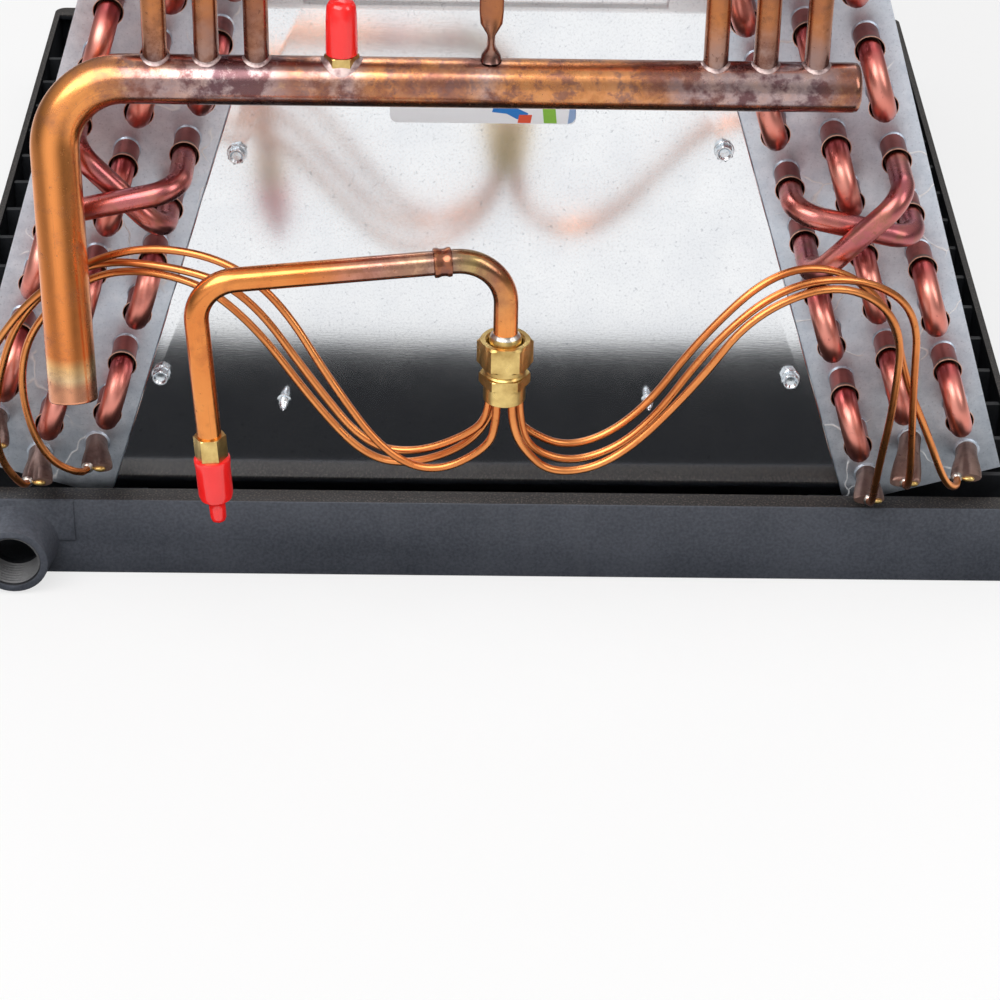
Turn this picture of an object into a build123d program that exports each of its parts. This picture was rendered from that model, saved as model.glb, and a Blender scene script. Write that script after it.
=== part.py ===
"""A-coil evaporator: two finned slabs leaning together over a moulded drain pan.

X runs across the coil, Y from the piped front end to the back, Z up.  The origin is on the underside
of the pan, in the front plane of the tube sheets.  All sizes are in millimetres.
"""
from build123d import *
from math import cos, degrees, radians, sin, tan
import os

# ---------------------------------------------------------------- slabs
lean_deg = 17.13            # slab angle from the vertical
tube_pitch = 25.4           # between tubes of one row, along the slope
row_pitch = 22.0            # between tube rows, across the slab
tubes_per_row = 20
first_tube = 12.7           # from the foot of the slab to the centre of the lowest tube
tube_od = 9.52
fin_length = 457.2          # between the tube sheets
fin_gap_pitch = 25.4        # plain model's stand-ins for the gaps between fins
fin_gap_width = 1.6
fin_gap_depth = 3.0
apex_gap = 16.4             # between the inner faces at the top of the slabs
slab_foot_z = 30.3          # inner bottom corner of a slab
sheet_thickness = 1.2
sheet_side_flange = 12.0    # folded back along the outer face of the fins
flange_clearance = 0.3
tongue_width = 16.0         # inner edge of a tube sheet, stepped back behind the end plate
tongue_gap = 2.0            # between the two tongues at the top
stub_length = 12.0          # straight tube outside the front sheet
bell_length = 4.0           # flared cup that takes the end of a bend
bell_radius = 6.1
rear_stub_length = 5.0
bend_sides = 8              # flats on the plain model's bent tubes
crossover_gap = 0.6         # between a crossover and the tubes that it passes
crossover_at = 6            # the outer and inner rows swap circuits above this tube

# ---------------------------------------------------------------- drain pan
pan_width = 484.0
pan_depth = 516.0
pan_height = 37.3
pan_front_offset = 14.5     # pan face ahead of the tube sheets
pan_wall = 3.0
pan_floor = 3.0
pan_corner_radius = 6.0
ledge_width = 10.0          # shelf at the top of the front and back rims, wall included
ledge_thickness = 3.0
duct_half_width = 148.0     # air opening
duct_wall_height = 26.0
duct_front_y = 33.0
duct_back_y = 450.0
rib_thickness = 3.0
rib_pitch = 30.0
rib_count = 15
rib_outer_height = 34.0
drain_notch_width = 28.0
drain_notch_height = 9.0
drain_x = -200.0
drain_z = 16.4
drain_bore_radius = 12.1    # 3/4 inch pipe thread, at its crests
drain_mouth_radius = 15.4
drain_root_radius = 18.4
drain_projection = 17.0
pad_width = 51.0            # raised field of the rim above the drain
pad_bottom_z = 17.0
pad_height = 0.8

# ---------------------------------------------------------------- sheet metal between the slabs
end_plate_bottom_z = 34.4
end_plate_gap = 0.3
bead_z = 265.0              # stiffening fold across the end plates
bead_width = 6.0
bead_depth = 1.5
cap_wing = 24.0             # each wing of the folded ridge cap

# ---------------------------------------------------------------- suction side
header_od = 19.05
header_wall = 1.07
header_y = -52.0
header_z = 253.7
header_right_x = 142.8
header_end_chamfer = 2.2
suction_x = -166.0          # corner where the header turns down
suction_bend_radius = 27.0
suction_forward_deg = 18.0
suction_inward_deg = 3.0
suction_length = 126.0
outlet_columns = {"inner": 87.0, "middle": 106.0, "outer": 125.4}
outlet_reach = 42.0         # from the tube sheet to the down-going run
outlet_bend_radius = 16.0
outlet_knee_z = 305.0
outlet_knee_radius = 60.0
strut_x = 1.7
strut_width = 9.2
strut_thickness = 3.4
strut_twist_height = 22.0
strut_shelf_z = 330.0
strut_bend_radius = 9.0
strut_tab = 20.0

# ---------------------------------------------------------------- service port on the header
port_x = -54.8
port_hex = 11.6             # across the flats
port_hex_height = 11.5      # above the axis of the header
port_cap_radius = 6.2
port_cap_height = 22.0
port_cap_chamfer = 1.8

# ---------------------------------------------------------------- liquid side
feed_x = 8.6
feed_y = -92.0
body_bottom_z = 137.8
body_radius = 8.3
body_height = 7.4
body_collar_hex = 17.4      # across the flats
body_collar_height = 4.5
body_neck_height = 4.0
nut_hex = 19.05
nut_height = 10.8
nut_chamfer = 1.2
nut_bore_radius = 7.0
tailpiece_radius = 6.4
tailpiece_height = 12.4
sleeve_gap = 0.1            # between a tube and the sleeve it is brazed into
feeder_od = 3.2
feeder_circle_radius = 6.0
feeder_sides = 6
feeder_drop = 7.0           # straight run below the distributor
feeder_nose = 7.0           # straight run into an adapter
liquid_od = 9.52
liquid_sides = 12
elbow_top_z = 200.4
elbow_radius = 19.0
coupling_start = 21.0       # from the elbow's corner
coupling_length = 7.2
coupling_radius = 5.7
line_corner = (-110.0, -104.0, 194.0)
line_bend_radius = 16.0
line_end = (-105.8, -106.0, 128.1)
valve_hex = 11.2
valve_hex_height = 9.9
cap_skirt_radius = 7.2
cap_skirt_length = 18.9
cap_skirt_chamfer = 1.2
cap_nose_radius = 3.3
cap_nose_length = 10.7
adapter_length = 22.0
adapter_width = 13.4
adapter_thickness = 4.4
adapter_shank = 5.0         # still round next to the sheet

# ---------------------------------------------------------------- worked out from the above
ROWS = ("inner", "middle", "outer")
SIDES = {"right": 1, "left": -1}
lean = radians(lean_deg)
slab_thickness = row_pitch * len(ROWS)
slab_length = (tubes_per_row + 0.5) * tube_pitch
foot_x = apex_gap / 2 + slab_length * sin(lean)
tube_radius = tube_od / 2
bend_radius = tube_pitch / 2
overall_length = fin_length + 2 * sheet_thickness
mouth_y = -(stub_length + bell_length)
pan_front_y = -pan_front_offset
pan_back_y = pan_front_y + pan_depth
header_radius = header_od / 2
nut_bottom_z = body_bottom_z + body_height + body_collar_height + body_neck_height
LAST = tubes_per_row - 1

# Middle of each flattened mouth, from the axis of its tube (x, z), and how far beside it the feeder enters.
ADAPTER_TIPS = {
    ("right", "inner"): ((-1.4, 0.8), 0.0),
    ("right", "middle"): ((-4.1, -8.9), 0.0),
    ("right", "outer"): ((-3.1, -0.4), -4.0),
    ("left", "inner"): ((2.4, 0.8), -4.0),
    ("left", "middle"): ((1.3, -1.0), -4.0),
    ("left", "outer"): ((1.5, -1.2), 0.0),
}

# Hole in the distributor (degrees round its axis) and the corners of each hand-bent feeder.
FEEDER_ROUTES = {
    ("left", "outer"): (240, [(3, -97, 118), (-18, -96, 105), (-38, -93, 112), (-58, -87, 139),
                              (-80, -80, 176), (-105, -73, 190), (-140, -62, 187), (-174, -55, 165),
                              (-196, -50, 136), (-209, -44, 104), (-208, -34, 78)]),
    ("left", "middle"): (180, [(-3, -92, 122), (-25, -89, 110), (-46, -85, 111), (-66, -80, 136),
                               (-92, -74, 174), (-120, -65, 180), (-157, -53, 176),
                               (-186, -45, 147), (-198, -40, 112), (-203, -34, 74)]),
    ("left", "inner"): (120, [(-4, -86, 113), (-26, -83, 101), (-46, -80, 102), (-66, -76, 124),
                              (-90, -71, 158), (-114, -63, 174), (-152, -50, 171), (-182, -41, 140),
                              (-190, -38, 108), (-183, -35, 72)]),
    ("right", "outer"): (60, [(16, -86, 120), (36, -82, 108), (62, -77, 120), (86, -72, 155),
                              (114, -66, 182), (142, -58, 179), (165, -48, 153), (173, -43, 120),
                              (186, -41, 90), (196, -37, 64)]),
    ("right", "middle"): (0, [(18, -91, 114), (38, -88, 105), (64, -84, 117), (90, -78, 156),
                              (118, -72, 179), (150, -62, 177), (174, -54, 158), (176, -49, 118),
                              (180, -40, 76)]),
    ("right", "inner"): (300, [(15, -97, 119), (28, -95, 104), (54, -92, 109), (84, -86, 141),
                               (105, -81, 171), (140, -72, 181), (167, -62, 158), (168, -54, 114),
                               (166, -42, 74)]),
}


# ---------------------------------------------------------------- shared shapes
def slab_point(side, s, t, y=0.0):
    """s up the slope from the slab's foot, t outwards from its inner face."""
    x = foot_x - s * sin(lean) + t * cos(lean)
    return Vector(side * x, y, slab_foot_z + s * cos(lean) + t * sin(lean))


def tube_place(side, row, index, y=0.0):
    """Rows are staggered by half a pitch, and the left slab is the right one turned about Y."""
    raised = (ROWS.index(row) == 1) == (side > 0)
    s = first_tube + index * tube_pitch + (tube_pitch / 2 if raised else 0.0)
    return slab_point(side, s, row_pitch * (ROWS.index(row) + 0.5), y)


def slab_bar(side, s_range, t_range, y0, length):
    """A straight bar along Y with a rectangle of the slab's cross-section."""
    (s0, s1), (t0, t1) = s_range, t_range
    corners = [slab_point(side, s, t, y0) for s, t in ((s0, t0), (s1, t0), (s1, t1), (s0, t1))]
    return extrude(make_face(Polyline(*corners, close=True)), amount=length, dir=(0, 1, 0))


def box_between(low, high):
    size = [b - a for a, b in zip(low, high)]
    return Pos(*low) * Box(*size, align=(Align.MIN, Align.MIN, Align.MIN))


def rod(start, direction, length, radius):
    base = Plane(origin=start, z_dir=direction)
    return extrude(base * Circle(radius), amount=length)


def hex_bar(start, direction, length, across_flats, x_dir=(1, 0, 0)):
    """Hexagon with two corners along x_dir."""
    base = Plane(origin=start, x_dir=x_dir, z_dir=direction)
    return extrude(base * RegularPolygon(across_flats / 2, 6, major_radius=False), amount=length)


def swept(path, outline, corners=Transition.TRANSFORMED):
    start = Plane(origin=path @ 0, z_dir=path % 0)
    return sweep(start * outline, path=path, transition=corners)


def mitred_tube(points, radius, sides):
    """Bent tube drawn as a mitred bar with a few flat sides."""
    line = Polyline(*points)
    return swept(line, RegularPolygon(radius, sides), Transition.RIGHT)


def easy_radii(points):
    """The largest arc that each corner's two runs allow."""
    radii = []
    for before, here, after in zip(points, points[1:], points[2:]):
        run = min((here - before).length, (after - here).length)
        turn = radians((here - before).get_angle(after - here))
        radii.append(0.45 * run / tan(turn / 2))
    return radii


def eased(points, radii, cuts):
    """The same path with each corner turned in a few short straight cuts of an arc."""
    points = [Vector(*p) for p in points]
    line = [points[0]]
    for before, here, after, radius in zip(points, points[1:], points[2:], radii):
        back, on = (before - here).normalized(), (after - here).normalized()
        turn = radians((here - before).get_angle(after - here))
        middle = here + (back + on).normalized() * (radius / cos(turn / 2))
        start = here + back * (radius * tan(turn / 2)) - middle
        hinge = Axis((0, 0, 0), start.cross(here - before))
        line += [middle + start.rotate(hinge, degrees(turn) * k / cuts) for k in range(cuts + 1)]
    return [*line, points[-1]]


def faceted(rings):
    """Solid through rings of corners, its sides split into flat triangles."""
    faces = [Face(Wire.make_polygon(rings[0])), Face(Wire.make_polygon(rings[-1]))]
    for first, second in zip(rings, rings[1:]):
        for k in range(len(first)):
            following = (k + 1) % len(first)
            faces.append(Face(Wire.make_polygon([first[k], first[following], second[k]])))
            faces.append(Face(Wire.make_polygon([first[following], second[following], second[k]])))
    return Solid(Shell(faces))


def u_bend(leg, sides, corners):
    """Half turn in the local XY plane: the legs start at y = 0 and the turn begins at y = -leg."""
    reach = bend_radius / cos(radians(90 / corners))
    turns = [radians(180 * (k + 0.5) / corners) for k in range(corners)]
    arc = [(-reach * cos(a), -leg - reach * sin(a)) for a in turns]
    return mitred_tube([(-bend_radius, 0), *arc, (bend_radius, 0)], tube_radius, sides)


def between(shape, first, second, outward):
    """Stands a U-bend on two tube ends, with its crown pointing outward along Y."""
    across = (second - first).normalized()
    stand = Plane(origin=(first + second) / 2, x_dir=across, z_dir=across.cross(-outward))
    return shape.moved(stand.location)


# ---------------------------------------------------------------- slabs
def fin_pack(side):
    """The stack of fins on its tubes: one block, with a few of the gaps between fins cut in both faces."""
    whole = (0, slab_length)
    block = slab_bar(side, whole, (0, slab_thickness), sheet_thickness, fin_length)
    gaps = []
    for k in range(1, int(fin_length / fin_gap_pitch)):
        y = sheet_thickness + k * fin_gap_pitch - fin_gap_width / 2
        for t_range in ((-1, fin_gap_depth), (slab_thickness - fin_gap_depth, slab_thickness + 1)):
            gaps.append(slab_bar(side, (-1, slab_length + 1), t_range, y, fin_gap_width))
    return block - gaps


def at_the_back(shape):
    """The back end is the front end mirrored about the middle of the slabs."""
    return mirror(shape, Plane(origin=(0, overall_length / 2, 0), z_dir=(0, 1, 0)))


def tube_sheet(side):
    """Front sheet of a slab, with a flange folded back on its outer edge and a stepped tongue."""
    outer = slab_thickness + flange_clearance
    whole = (0, slab_length)
    plate = slab_bar(side, whole, (-sheet_thickness, outer + sheet_thickness), 0, sheet_thickness)
    flange = slab_bar(side, whole, (outer, outer + sheet_thickness), 0, sheet_side_flange)
    low = (end_plate_bottom_z - slab_foot_z) / cos(lean)
    high = (foot_x - (tongue_width + tongue_gap) / cos(lean)) / sin(lean)
    tongue = slab_bar(side, (low, high), (-tongue_width, 0), sheet_thickness, sheet_thickness)
    return plate + flange + tongue


def bell_stub():
    """Tube end with a flared cup, along local Z from the face of the sheet."""
    tube = extrude(RegularPolygon(tube_radius, 6), amount=stub_length)
    narrow = Plane.XY.offset(stub_length) * RegularPolygon(tube_radius, 6)
    wide = Plane.XY.offset(stub_length + bell_length) * RegularPolygon(bell_radius, 6)
    return tube + loft([narrow, wide], ruled=True)


def hairpins(side, row):
    """Bends at the back and belled ends at the front: the legs are inside the finned block."""
    bend = u_bend(rear_stub_length, 6, 2)
    stub = bell_stub()
    pieces = []
    for index in range(0, tubes_per_row, 2):
        ends = [tube_place(side, row, k, overall_length) for k in (index, index + 1)]
        pieces.append(between(bend, *ends, Vector(0, 1, 0)))
    for index in range(1, LAST):
        face = Plane(origin=tube_place(side, row, index), z_dir=(0, -1, 0))
        pieces.append(stub.moved(face.location))
    return Compound(pieces)


def return_bends(side, row):
    bend = u_bend(0.5, 6, 3)
    pieces = []
    for index in range(1, LAST, 2):
        if row != "middle" and index == crossover_at - 1:
            continue
        ends = [tube_place(side, row, k, mouth_y) for k in (index, index + 1)]
        pieces.append(between(bend, *ends, Vector(0, -1, 0)))
    return Compound(pieces)


def crossover(side, upper_row, lower_row, run_y):
    """Tube from one row to another, its slanted run standing at run_y."""
    upper = tube_place(side, upper_row, crossover_at, mouth_y)
    lower = tube_place(side, lower_row, crossover_at - 1, mouth_y)
    out = Vector(0, run_y - mouth_y, 0)
    cut = (lower - upper).normalized() * bend_radius * 0.6
    ease = Vector(0, bend_radius * 0.6, 0)
    points = [upper, upper + out + ease, upper + out + cut, lower + out - cut, lower + out + ease, lower]
    return mitred_tube(points, tube_radius, bend_sides)


def adapter_tip(name, row):
    """Middle of the flattened mouth, and the point in it where the feeder enters."""
    (x, z), beside = ADAPTER_TIPS[name, row]
    tip = tube_place(SIDES[name], row, 0, -adapter_length) + Vector(x, 0, z)
    return tip, tip + Vector(beside, 0, 0)


def feed_adapters(name):
    """Tube ends pressed flat from round to a wide mouth that takes a feeder."""
    pieces = []
    for row in ROWS:
        root = tube_place(SIDES[name], row, 0)
        tip, _ = adapter_tip(name, row)
        stations = [(root, tube_od, tube_od), (root - Vector(0, adapter_shank, 0), tube_od, tube_od),
                    (root + (tip - root) * 0.75, adapter_width, adapter_thickness),
                    (tip, adapter_width, adapter_thickness)]
        turns = [radians(45 * k + 22.5) for k in range(8)]
        pieces.append(faceted([[middle + Vector(wide / 2 * cos(a), 0, thick / 2 * sin(a)) for a in turns]
                               for middle, wide, thick in stations]))
    return Compound(pieces)


# ---------------------------------------------------------------- drain pan
def pan_rib(y):
    """Crosswise web whose top carries the slab, up to the height of the rim."""
    slope_end = foot_x + (rib_outer_height - slab_foot_z) / tan(lean)
    wall_x = duct_half_width + pan_wall / 2
    rim_x = pan_width / 2 - pan_wall / 2
    outline = [(wall_x, y, pan_floor / 2), (wall_x, y, duct_wall_height), (foot_x, y, slab_foot_z),
               (slope_end, y, rib_outer_height), (rim_x, y, rib_outer_height), (rim_x, y, pan_floor / 2)]
    web = extrude(make_face(Polyline(*outline, close=True)), amount=rib_thickness, dir=(0, 1, 0))
    notch_x = (wall_x + rim_x) / 2
    notch = box_between((notch_x - drain_notch_width / 2, y - 1, 0),
                        (notch_x + drain_notch_width / 2, y + rib_thickness + 1,
                         pan_floor + drain_notch_height))
    return web - notch


def drain_pan():
    half = pan_width / 2
    middle_y = (pan_front_y + pan_back_y) / 2
    outside = Pos(0, middle_y) * RectangleRounded(pan_width, pan_depth, pan_corner_radius)
    inside = Pos(0, middle_y) * RectangleRounded(pan_width - 2 * pan_wall, pan_depth - 2 * pan_wall,
                                                 pan_corner_radius - pan_wall)
    pan = extrude(outside, amount=pan_height) - Pos(0, 0, pan_floor) * extrude(inside, amount=pan_height)
    # shelf along the front and back rims
    shelf_z = pan_height - ledge_thickness
    for low_y, high_y in ((pan_front_y + 1, pan_front_y + ledge_width),
                          (pan_back_y - ledge_width, pan_back_y - 1)):
        pan += box_between((-half + pan_wall, low_y, shelf_z), (half - pan_wall, high_y, pan_height))
    # wall round the air opening
    wall = box_between((-duct_half_width - pan_wall, duct_front_y - pan_wall, 0),
                       (duct_half_width + pan_wall, duct_back_y + pan_wall, duct_wall_height))
    opening = box_between((-duct_half_width, duct_front_y, -1),
                          (duct_half_width, duct_back_y, pan_height))
    pan = pan + wall - opening
    # webs under the slabs
    first_y = overall_length / 2 - rib_pitch * (rib_count - 1) / 2 - rib_thickness / 2
    for k in range(rib_count):
        rib = pan_rib(first_y + k * rib_pitch)
        pan += rib
        pan += mirror(rib, Plane.YZ)
    # drain boss, flush with the underside
    boss = Plane(origin=(drain_x, pan_front_y + 0.5, drain_z), z_dir=(0, -1, 0))
    root = boss * Circle(drain_root_radius)
    mouth = Plane(origin=(drain_x, pan_front_y - drain_projection, drain_z), z_dir=(0, -1, 0))
    cone = loft([root, mouth * Circle(drain_mouth_radius)])
    below = box_between((-half, pan_front_y - 2 * drain_projection, -pan_height),
                        (half, pan_front_y + pan_wall, 0))
    bore = rod((drain_x, pan_front_y - drain_projection - 1, drain_z), (0, 1, 0),
               drain_projection + pan_wall + 1, drain_bore_radius)
    pad = box_between((drain_x - pad_width / 2, pan_front_y - pad_height, pad_bottom_z),
                      (drain_x + pad_width / 2, pan_front_y + 1, pan_height))
    return pan + pad + (cone - below) - bore


# ---------------------------------------------------------------- sheet metal
def end_plate():
    """Plate that closes the front of the A, lying on the tongues of the tube sheets."""
    edge = -sheet_thickness - end_plate_gap
    top_z = slab_point(1, slab_length, 0).Z - end_plate_gap

    def corner(side, z):
        x = foot_x - (z - slab_foot_z) * tan(lean) + edge / cos(lean)
        return Vector(side * x, 0, z)

    outline = [corner(-1, end_plate_bottom_z), corner(1, end_plate_bottom_z),
               corner(1, top_z), corner(-1, top_z)]
    plate = extrude(make_face(Polyline(*outline, close=True)), amount=sheet_thickness, dir=(0, 1, 0))
    reach = corner(1, bead_z).X - tongue_width
    section = [(-reach, 0, bead_z - bead_width / 2), (-reach, -bead_depth, bead_z),
               (-reach, 0, bead_z + bead_width / 2)]
    bead = extrude(make_face(Polyline(*section, close=True)), amount=2 * reach, dir=(1, 0, 0))
    return plate + bead


def apex_cap():
    """Folded strip lying on the tops of both slabs."""
    below = [slab_point(-1, slab_length, cap_wing), slab_point(-1, slab_length, 0),
             slab_point(1, slab_length, 0), slab_point(1, slab_length, cap_wing)]
    above = [slab_point(side, slab_length + sheet_thickness, t)
             for side, t in ((1, cap_wing), (1, 0), (-1, 0), (-1, cap_wing))]
    strip = make_face(Polyline(*below, *above, close=True))
    return extrude(strip, amount=overall_length, dir=(0, 1, 0))


# ---------------------------------------------------------------- suction side
header_corner = Vector(suction_x, header_y, header_z)
suction_direction = Vector(tan(radians(suction_inward_deg)), -tan(radians(suction_forward_deg)), -1)
suction_direction = suction_direction.normalized()
header_end = header_corner + suction_direction * suction_length


def suction_header():
    """Closed at its right end, turned down on the left and open at the bottom."""
    path = FilletPolyline((header_right_x, header_y, header_z), header_corner, header_end,
                          radius=suction_bend_radius)
    tube = swept(path, Circle(header_radius))
    closed = tube.edges().filter_by(GeomType.CIRCLE).sort_by(Axis.X)[-1]
    tube = chamfer(closed, header_end_chamfer)
    turn = radians((header_corner - Vector(header_right_x, header_y, header_z))
                   .get_angle(header_end - header_corner))
    straight = suction_length - suction_bend_radius * tan(turn / 2)
    return tube - rod(header_end, -suction_direction, straight, header_radius - header_wall)


def header_crown():
    return rod((-header_right_x, header_y, header_z), (1, 0, 0), 2 * header_right_x, header_radius)


def outlet(name, row):
    """From the top tube of a row, out and down in front of the bends, into the top of the header."""
    side = SIDES[name]
    start = tube_place(side, row, LAST)
    column = side * outlet_columns[row]
    points = [start, Vector(start.X, -outlet_reach, start.Z), Vector(column, header_y, outlet_knee_z),
              Vector(column, header_y, header_z)]
    path = eased(points, [outlet_bend_radius, outlet_knee_radius], 3)
    return mitred_tube(path, tube_radius, bend_sides) - header_crown()


def header_strut():
    """Flattened tube brazed to the header, twisted a quarter turn and carried back to the end plate."""
    foot = Vector(strut_x, header_y, header_z + header_radius)
    half_size = [(strut_width / 2 * a, strut_thickness / 2 * b) for a, b in ((1, 1), (-1, 1), (-1, -1), (1, -1))]
    rings = []
    for level in (0, 0.35, 0.65, 1):
        turn = radians(90 * (1 - level))
        rings.append([foot + Vector(x * cos(turn) - y * sin(turn), x * sin(turn) + y * cos(turn),
                                    strut_twist_height * level) for x, y in half_size])
    twist = faceted(rings)
    back = -strut_thickness / 2
    path = FilletPolyline(foot + Vector(0, 0, strut_twist_height), (strut_x, header_y, strut_shelf_z),
                          (strut_x, back, strut_shelf_z), (strut_x, back, strut_shelf_z + strut_tab),
                          radius=strut_bend_radius)
    bar = sweep(Plane(origin=path @ 0, x_dir=(1, 0, 0), z_dir=path % 0)
                * Rectangle(strut_width, strut_thickness), path=path)
    return twist + bar


def access_valve():
    stem = hex_bar((port_x, header_y, header_z), (0, 0, 1), port_hex_height, port_hex)
    return stem - header_crown()


def access_valve_cap():
    cap = rod((port_x, header_y, header_z + port_hex_height), (0, 0, 1), port_cap_height, port_cap_radius)
    return chamfer(cap.edges().sort_by(Axis.Z)[-1], port_cap_chamfer)


# ---------------------------------------------------------------- liquid side
def distributor_body():
    lower = rod((feed_x, feed_y, body_bottom_z), (0, 0, 1), body_height, body_radius)
    collar_z = body_bottom_z + body_height
    collar = hex_bar((feed_x, feed_y, collar_z), (0, 0, 1), body_collar_height, body_collar_hex)
    neck_z = collar_z + body_collar_height
    return lower + collar + rod((feed_x, feed_y, neck_z), (0, 0, 1), body_neck_height, body_radius)


def distributor_nut():
    """Hexagon whose corners are turned off at the top, bored for the tailpiece."""
    hexagon = hex_bar((feed_x, feed_y, nut_bottom_z), (0, 0, 1), nut_height, nut_hex)
    corner_radius = nut_hex / 2 / cos(radians(30))
    turned = rod((feed_x, feed_y, nut_bottom_z), (0, 0, 1), nut_height, corner_radius)
    turned = chamfer(turned.edges().sort_by(Axis.Z)[-1], nut_chamfer)
    bore = rod((feed_x, feed_y, nut_bottom_z - 1), (0, 0, 1), nut_height + 2, nut_bore_radius)
    return (hexagon & turned) - bore


def tailpiece():
    base = (feed_x, feed_y, nut_bottom_z)
    sleeve = rod(base, (0, 0, 1), tailpiece_height, tailpiece_radius)
    return sleeve - rod(base, (0, 0, 1), tailpiece_height + 1, liquid_od / 2 + sleeve_gap)


elbow_corner = Vector(feed_x, feed_y, elbow_top_z)
run_direction = (Vector(*line_corner) - elbow_corner).normalized()
joint = elbow_corner + run_direction * (coupling_start + coupling_length / 2)
drop_direction = (Vector(*line_end) - Vector(*line_corner)).normalized()
valve_end = Vector(*line_end) + drop_direction * valve_hex_height


def liquid_elbow():
    path = eased([(feed_x, feed_y, nut_bottom_z), elbow_corner, joint], [elbow_radius], 6)
    return mitred_tube(path, liquid_od / 2, liquid_sides)


def liquid_coupling():
    start = elbow_corner + run_direction * coupling_start
    sleeve = rod(start, run_direction, coupling_length, coupling_radius)
    return sleeve - rod(start, run_direction, coupling_length, liquid_od / 2 + sleeve_gap)


def liquid_line():
    path = eased([joint, line_corner, line_end], [line_bend_radius], 6)
    return mitred_tube(path, liquid_od / 2, liquid_sides)


def liquid_valve_fitting():
    return hex_bar(line_end, drop_direction, valve_hex_height, valve_hex)


def liquid_valve_cap():
    skirt = rod(valve_end, drop_direction, cap_skirt_length, cap_skirt_radius)
    skirt = chamfer(skirt.edges().sort_by(Axis.Z)[0], cap_skirt_chamfer)
    nose_start = valve_end + drop_direction * cap_skirt_length
    return skirt + rod(nose_start, drop_direction, cap_nose_length, cap_nose_radius)


def feeder_points(name, row):
    degrees_round, corners = FEEDER_ROUTES[name, row]
    angle = radians(degrees_round)
    hole = Vector(feed_x + feeder_circle_radius * cos(angle), feed_y + feeder_circle_radius * sin(angle),
                  body_bottom_z)
    _, tip = adapter_tip(name, row)
    return [hole, hole - Vector(0, 0, feeder_drop), *[Vector(*p) for p in corners],
            tip - Vector(0, feeder_nose, 0), tip]


def feeder(name, row):
    points = feeder_points(name, row)
    return mitred_tube(eased(points, easy_radii(points), 2), feeder_od / 2, feeder_sides)


# ---------------------------------------------------------------- the parts
# the near crossover clears the bend below it, and the far one clears the near one
near_run_y = mouth_y - bend_radius - tube_od * 0.75 - crossover_gap
far_run_y = near_run_y - tube_od - crossover_gap
FRONT_PAIRS = {"right": (("outer", "inner"), ("inner", "outer")),
               "left": (("inner", "outer"), ("outer", "inner"))}

NODES = {"drain_pan": drain_pan(), "front_end_plate": end_plate(), "apex_cap": apex_cap()}
NODES["rear_end_plate"] = at_the_back(NODES["front_end_plate"])
for name, side in SIDES.items():
    NODES[f"fin_pack_{name}"] = fin_pack(side)
    NODES[f"tube_sheet_{name}_front"] = tube_sheet(side)
    NODES[f"tube_sheet_{name}_rear"] = at_the_back(tube_sheet(side))
    NODES[f"feed_adapters_{name}"] = feed_adapters(name)
    over, under = FRONT_PAIRS[name]
    NODES[f"crossover_over_{name}"] = crossover(side, *over, far_run_y)
    NODES[f"crossover_under_{name}"] = crossover(side, *under, near_run_y)
    for row in ROWS:
        NODES[f"hairpins_{name}_{row}"] = hairpins(side, row)
        NODES[f"return_bends_{name}_{row}"] = return_bends(side, row)
        NODES[f"outlet_{name}_{row}"] = outlet(name, row)
        NODES[f"feeder_{name}_{row}"] = feeder(name, row)
NODES["suction_header"] = suction_header()
NODES["header_strut"] = header_strut()
NODES["access_valve"] = access_valve()
NODES["access_valve_cap"] = access_valve_cap()
NODES["distributor_body"] = distributor_body()
NODES["distributor_nut"] = distributor_nut()
NODES["distributor_tailpiece"] = tailpiece()
NODES["liquid_elbow"] = liquid_elbow()
NODES["liquid_coupling"] = liquid_coupling()
NODES["liquid_line"] = liquid_line()
NODES["liquid_valve_fitting"] = liquid_valve_fitting()
NODES["liquid_valve_cap"] = liquid_valve_cap()

os.makedirs("parts", exist_ok=True)
for node, shape in NODES.items():
    export_step(shape, f"parts/{node}.step")
print(len(NODES), "parts written")
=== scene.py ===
"""Dressed model of an A-coil evaporator: each section is one piece or group of like pieces."""
import bpy
import bmesh
from math import cos, pi, radians, sin, sqrt, tan
from mathutils import Matrix, Vector


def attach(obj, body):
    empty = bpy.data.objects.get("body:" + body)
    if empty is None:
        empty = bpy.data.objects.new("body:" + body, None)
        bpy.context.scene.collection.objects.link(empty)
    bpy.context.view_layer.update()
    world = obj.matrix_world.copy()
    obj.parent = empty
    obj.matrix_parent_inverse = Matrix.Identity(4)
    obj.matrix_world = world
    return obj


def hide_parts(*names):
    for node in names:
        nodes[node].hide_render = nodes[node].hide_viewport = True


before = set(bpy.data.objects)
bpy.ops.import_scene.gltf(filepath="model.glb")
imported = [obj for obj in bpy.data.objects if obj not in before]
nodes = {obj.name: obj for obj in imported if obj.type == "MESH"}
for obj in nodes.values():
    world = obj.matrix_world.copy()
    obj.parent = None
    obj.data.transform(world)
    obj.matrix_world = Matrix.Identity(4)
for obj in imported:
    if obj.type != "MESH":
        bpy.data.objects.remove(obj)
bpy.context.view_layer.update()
scene = bpy.context.scene
MM = 0.001


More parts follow.
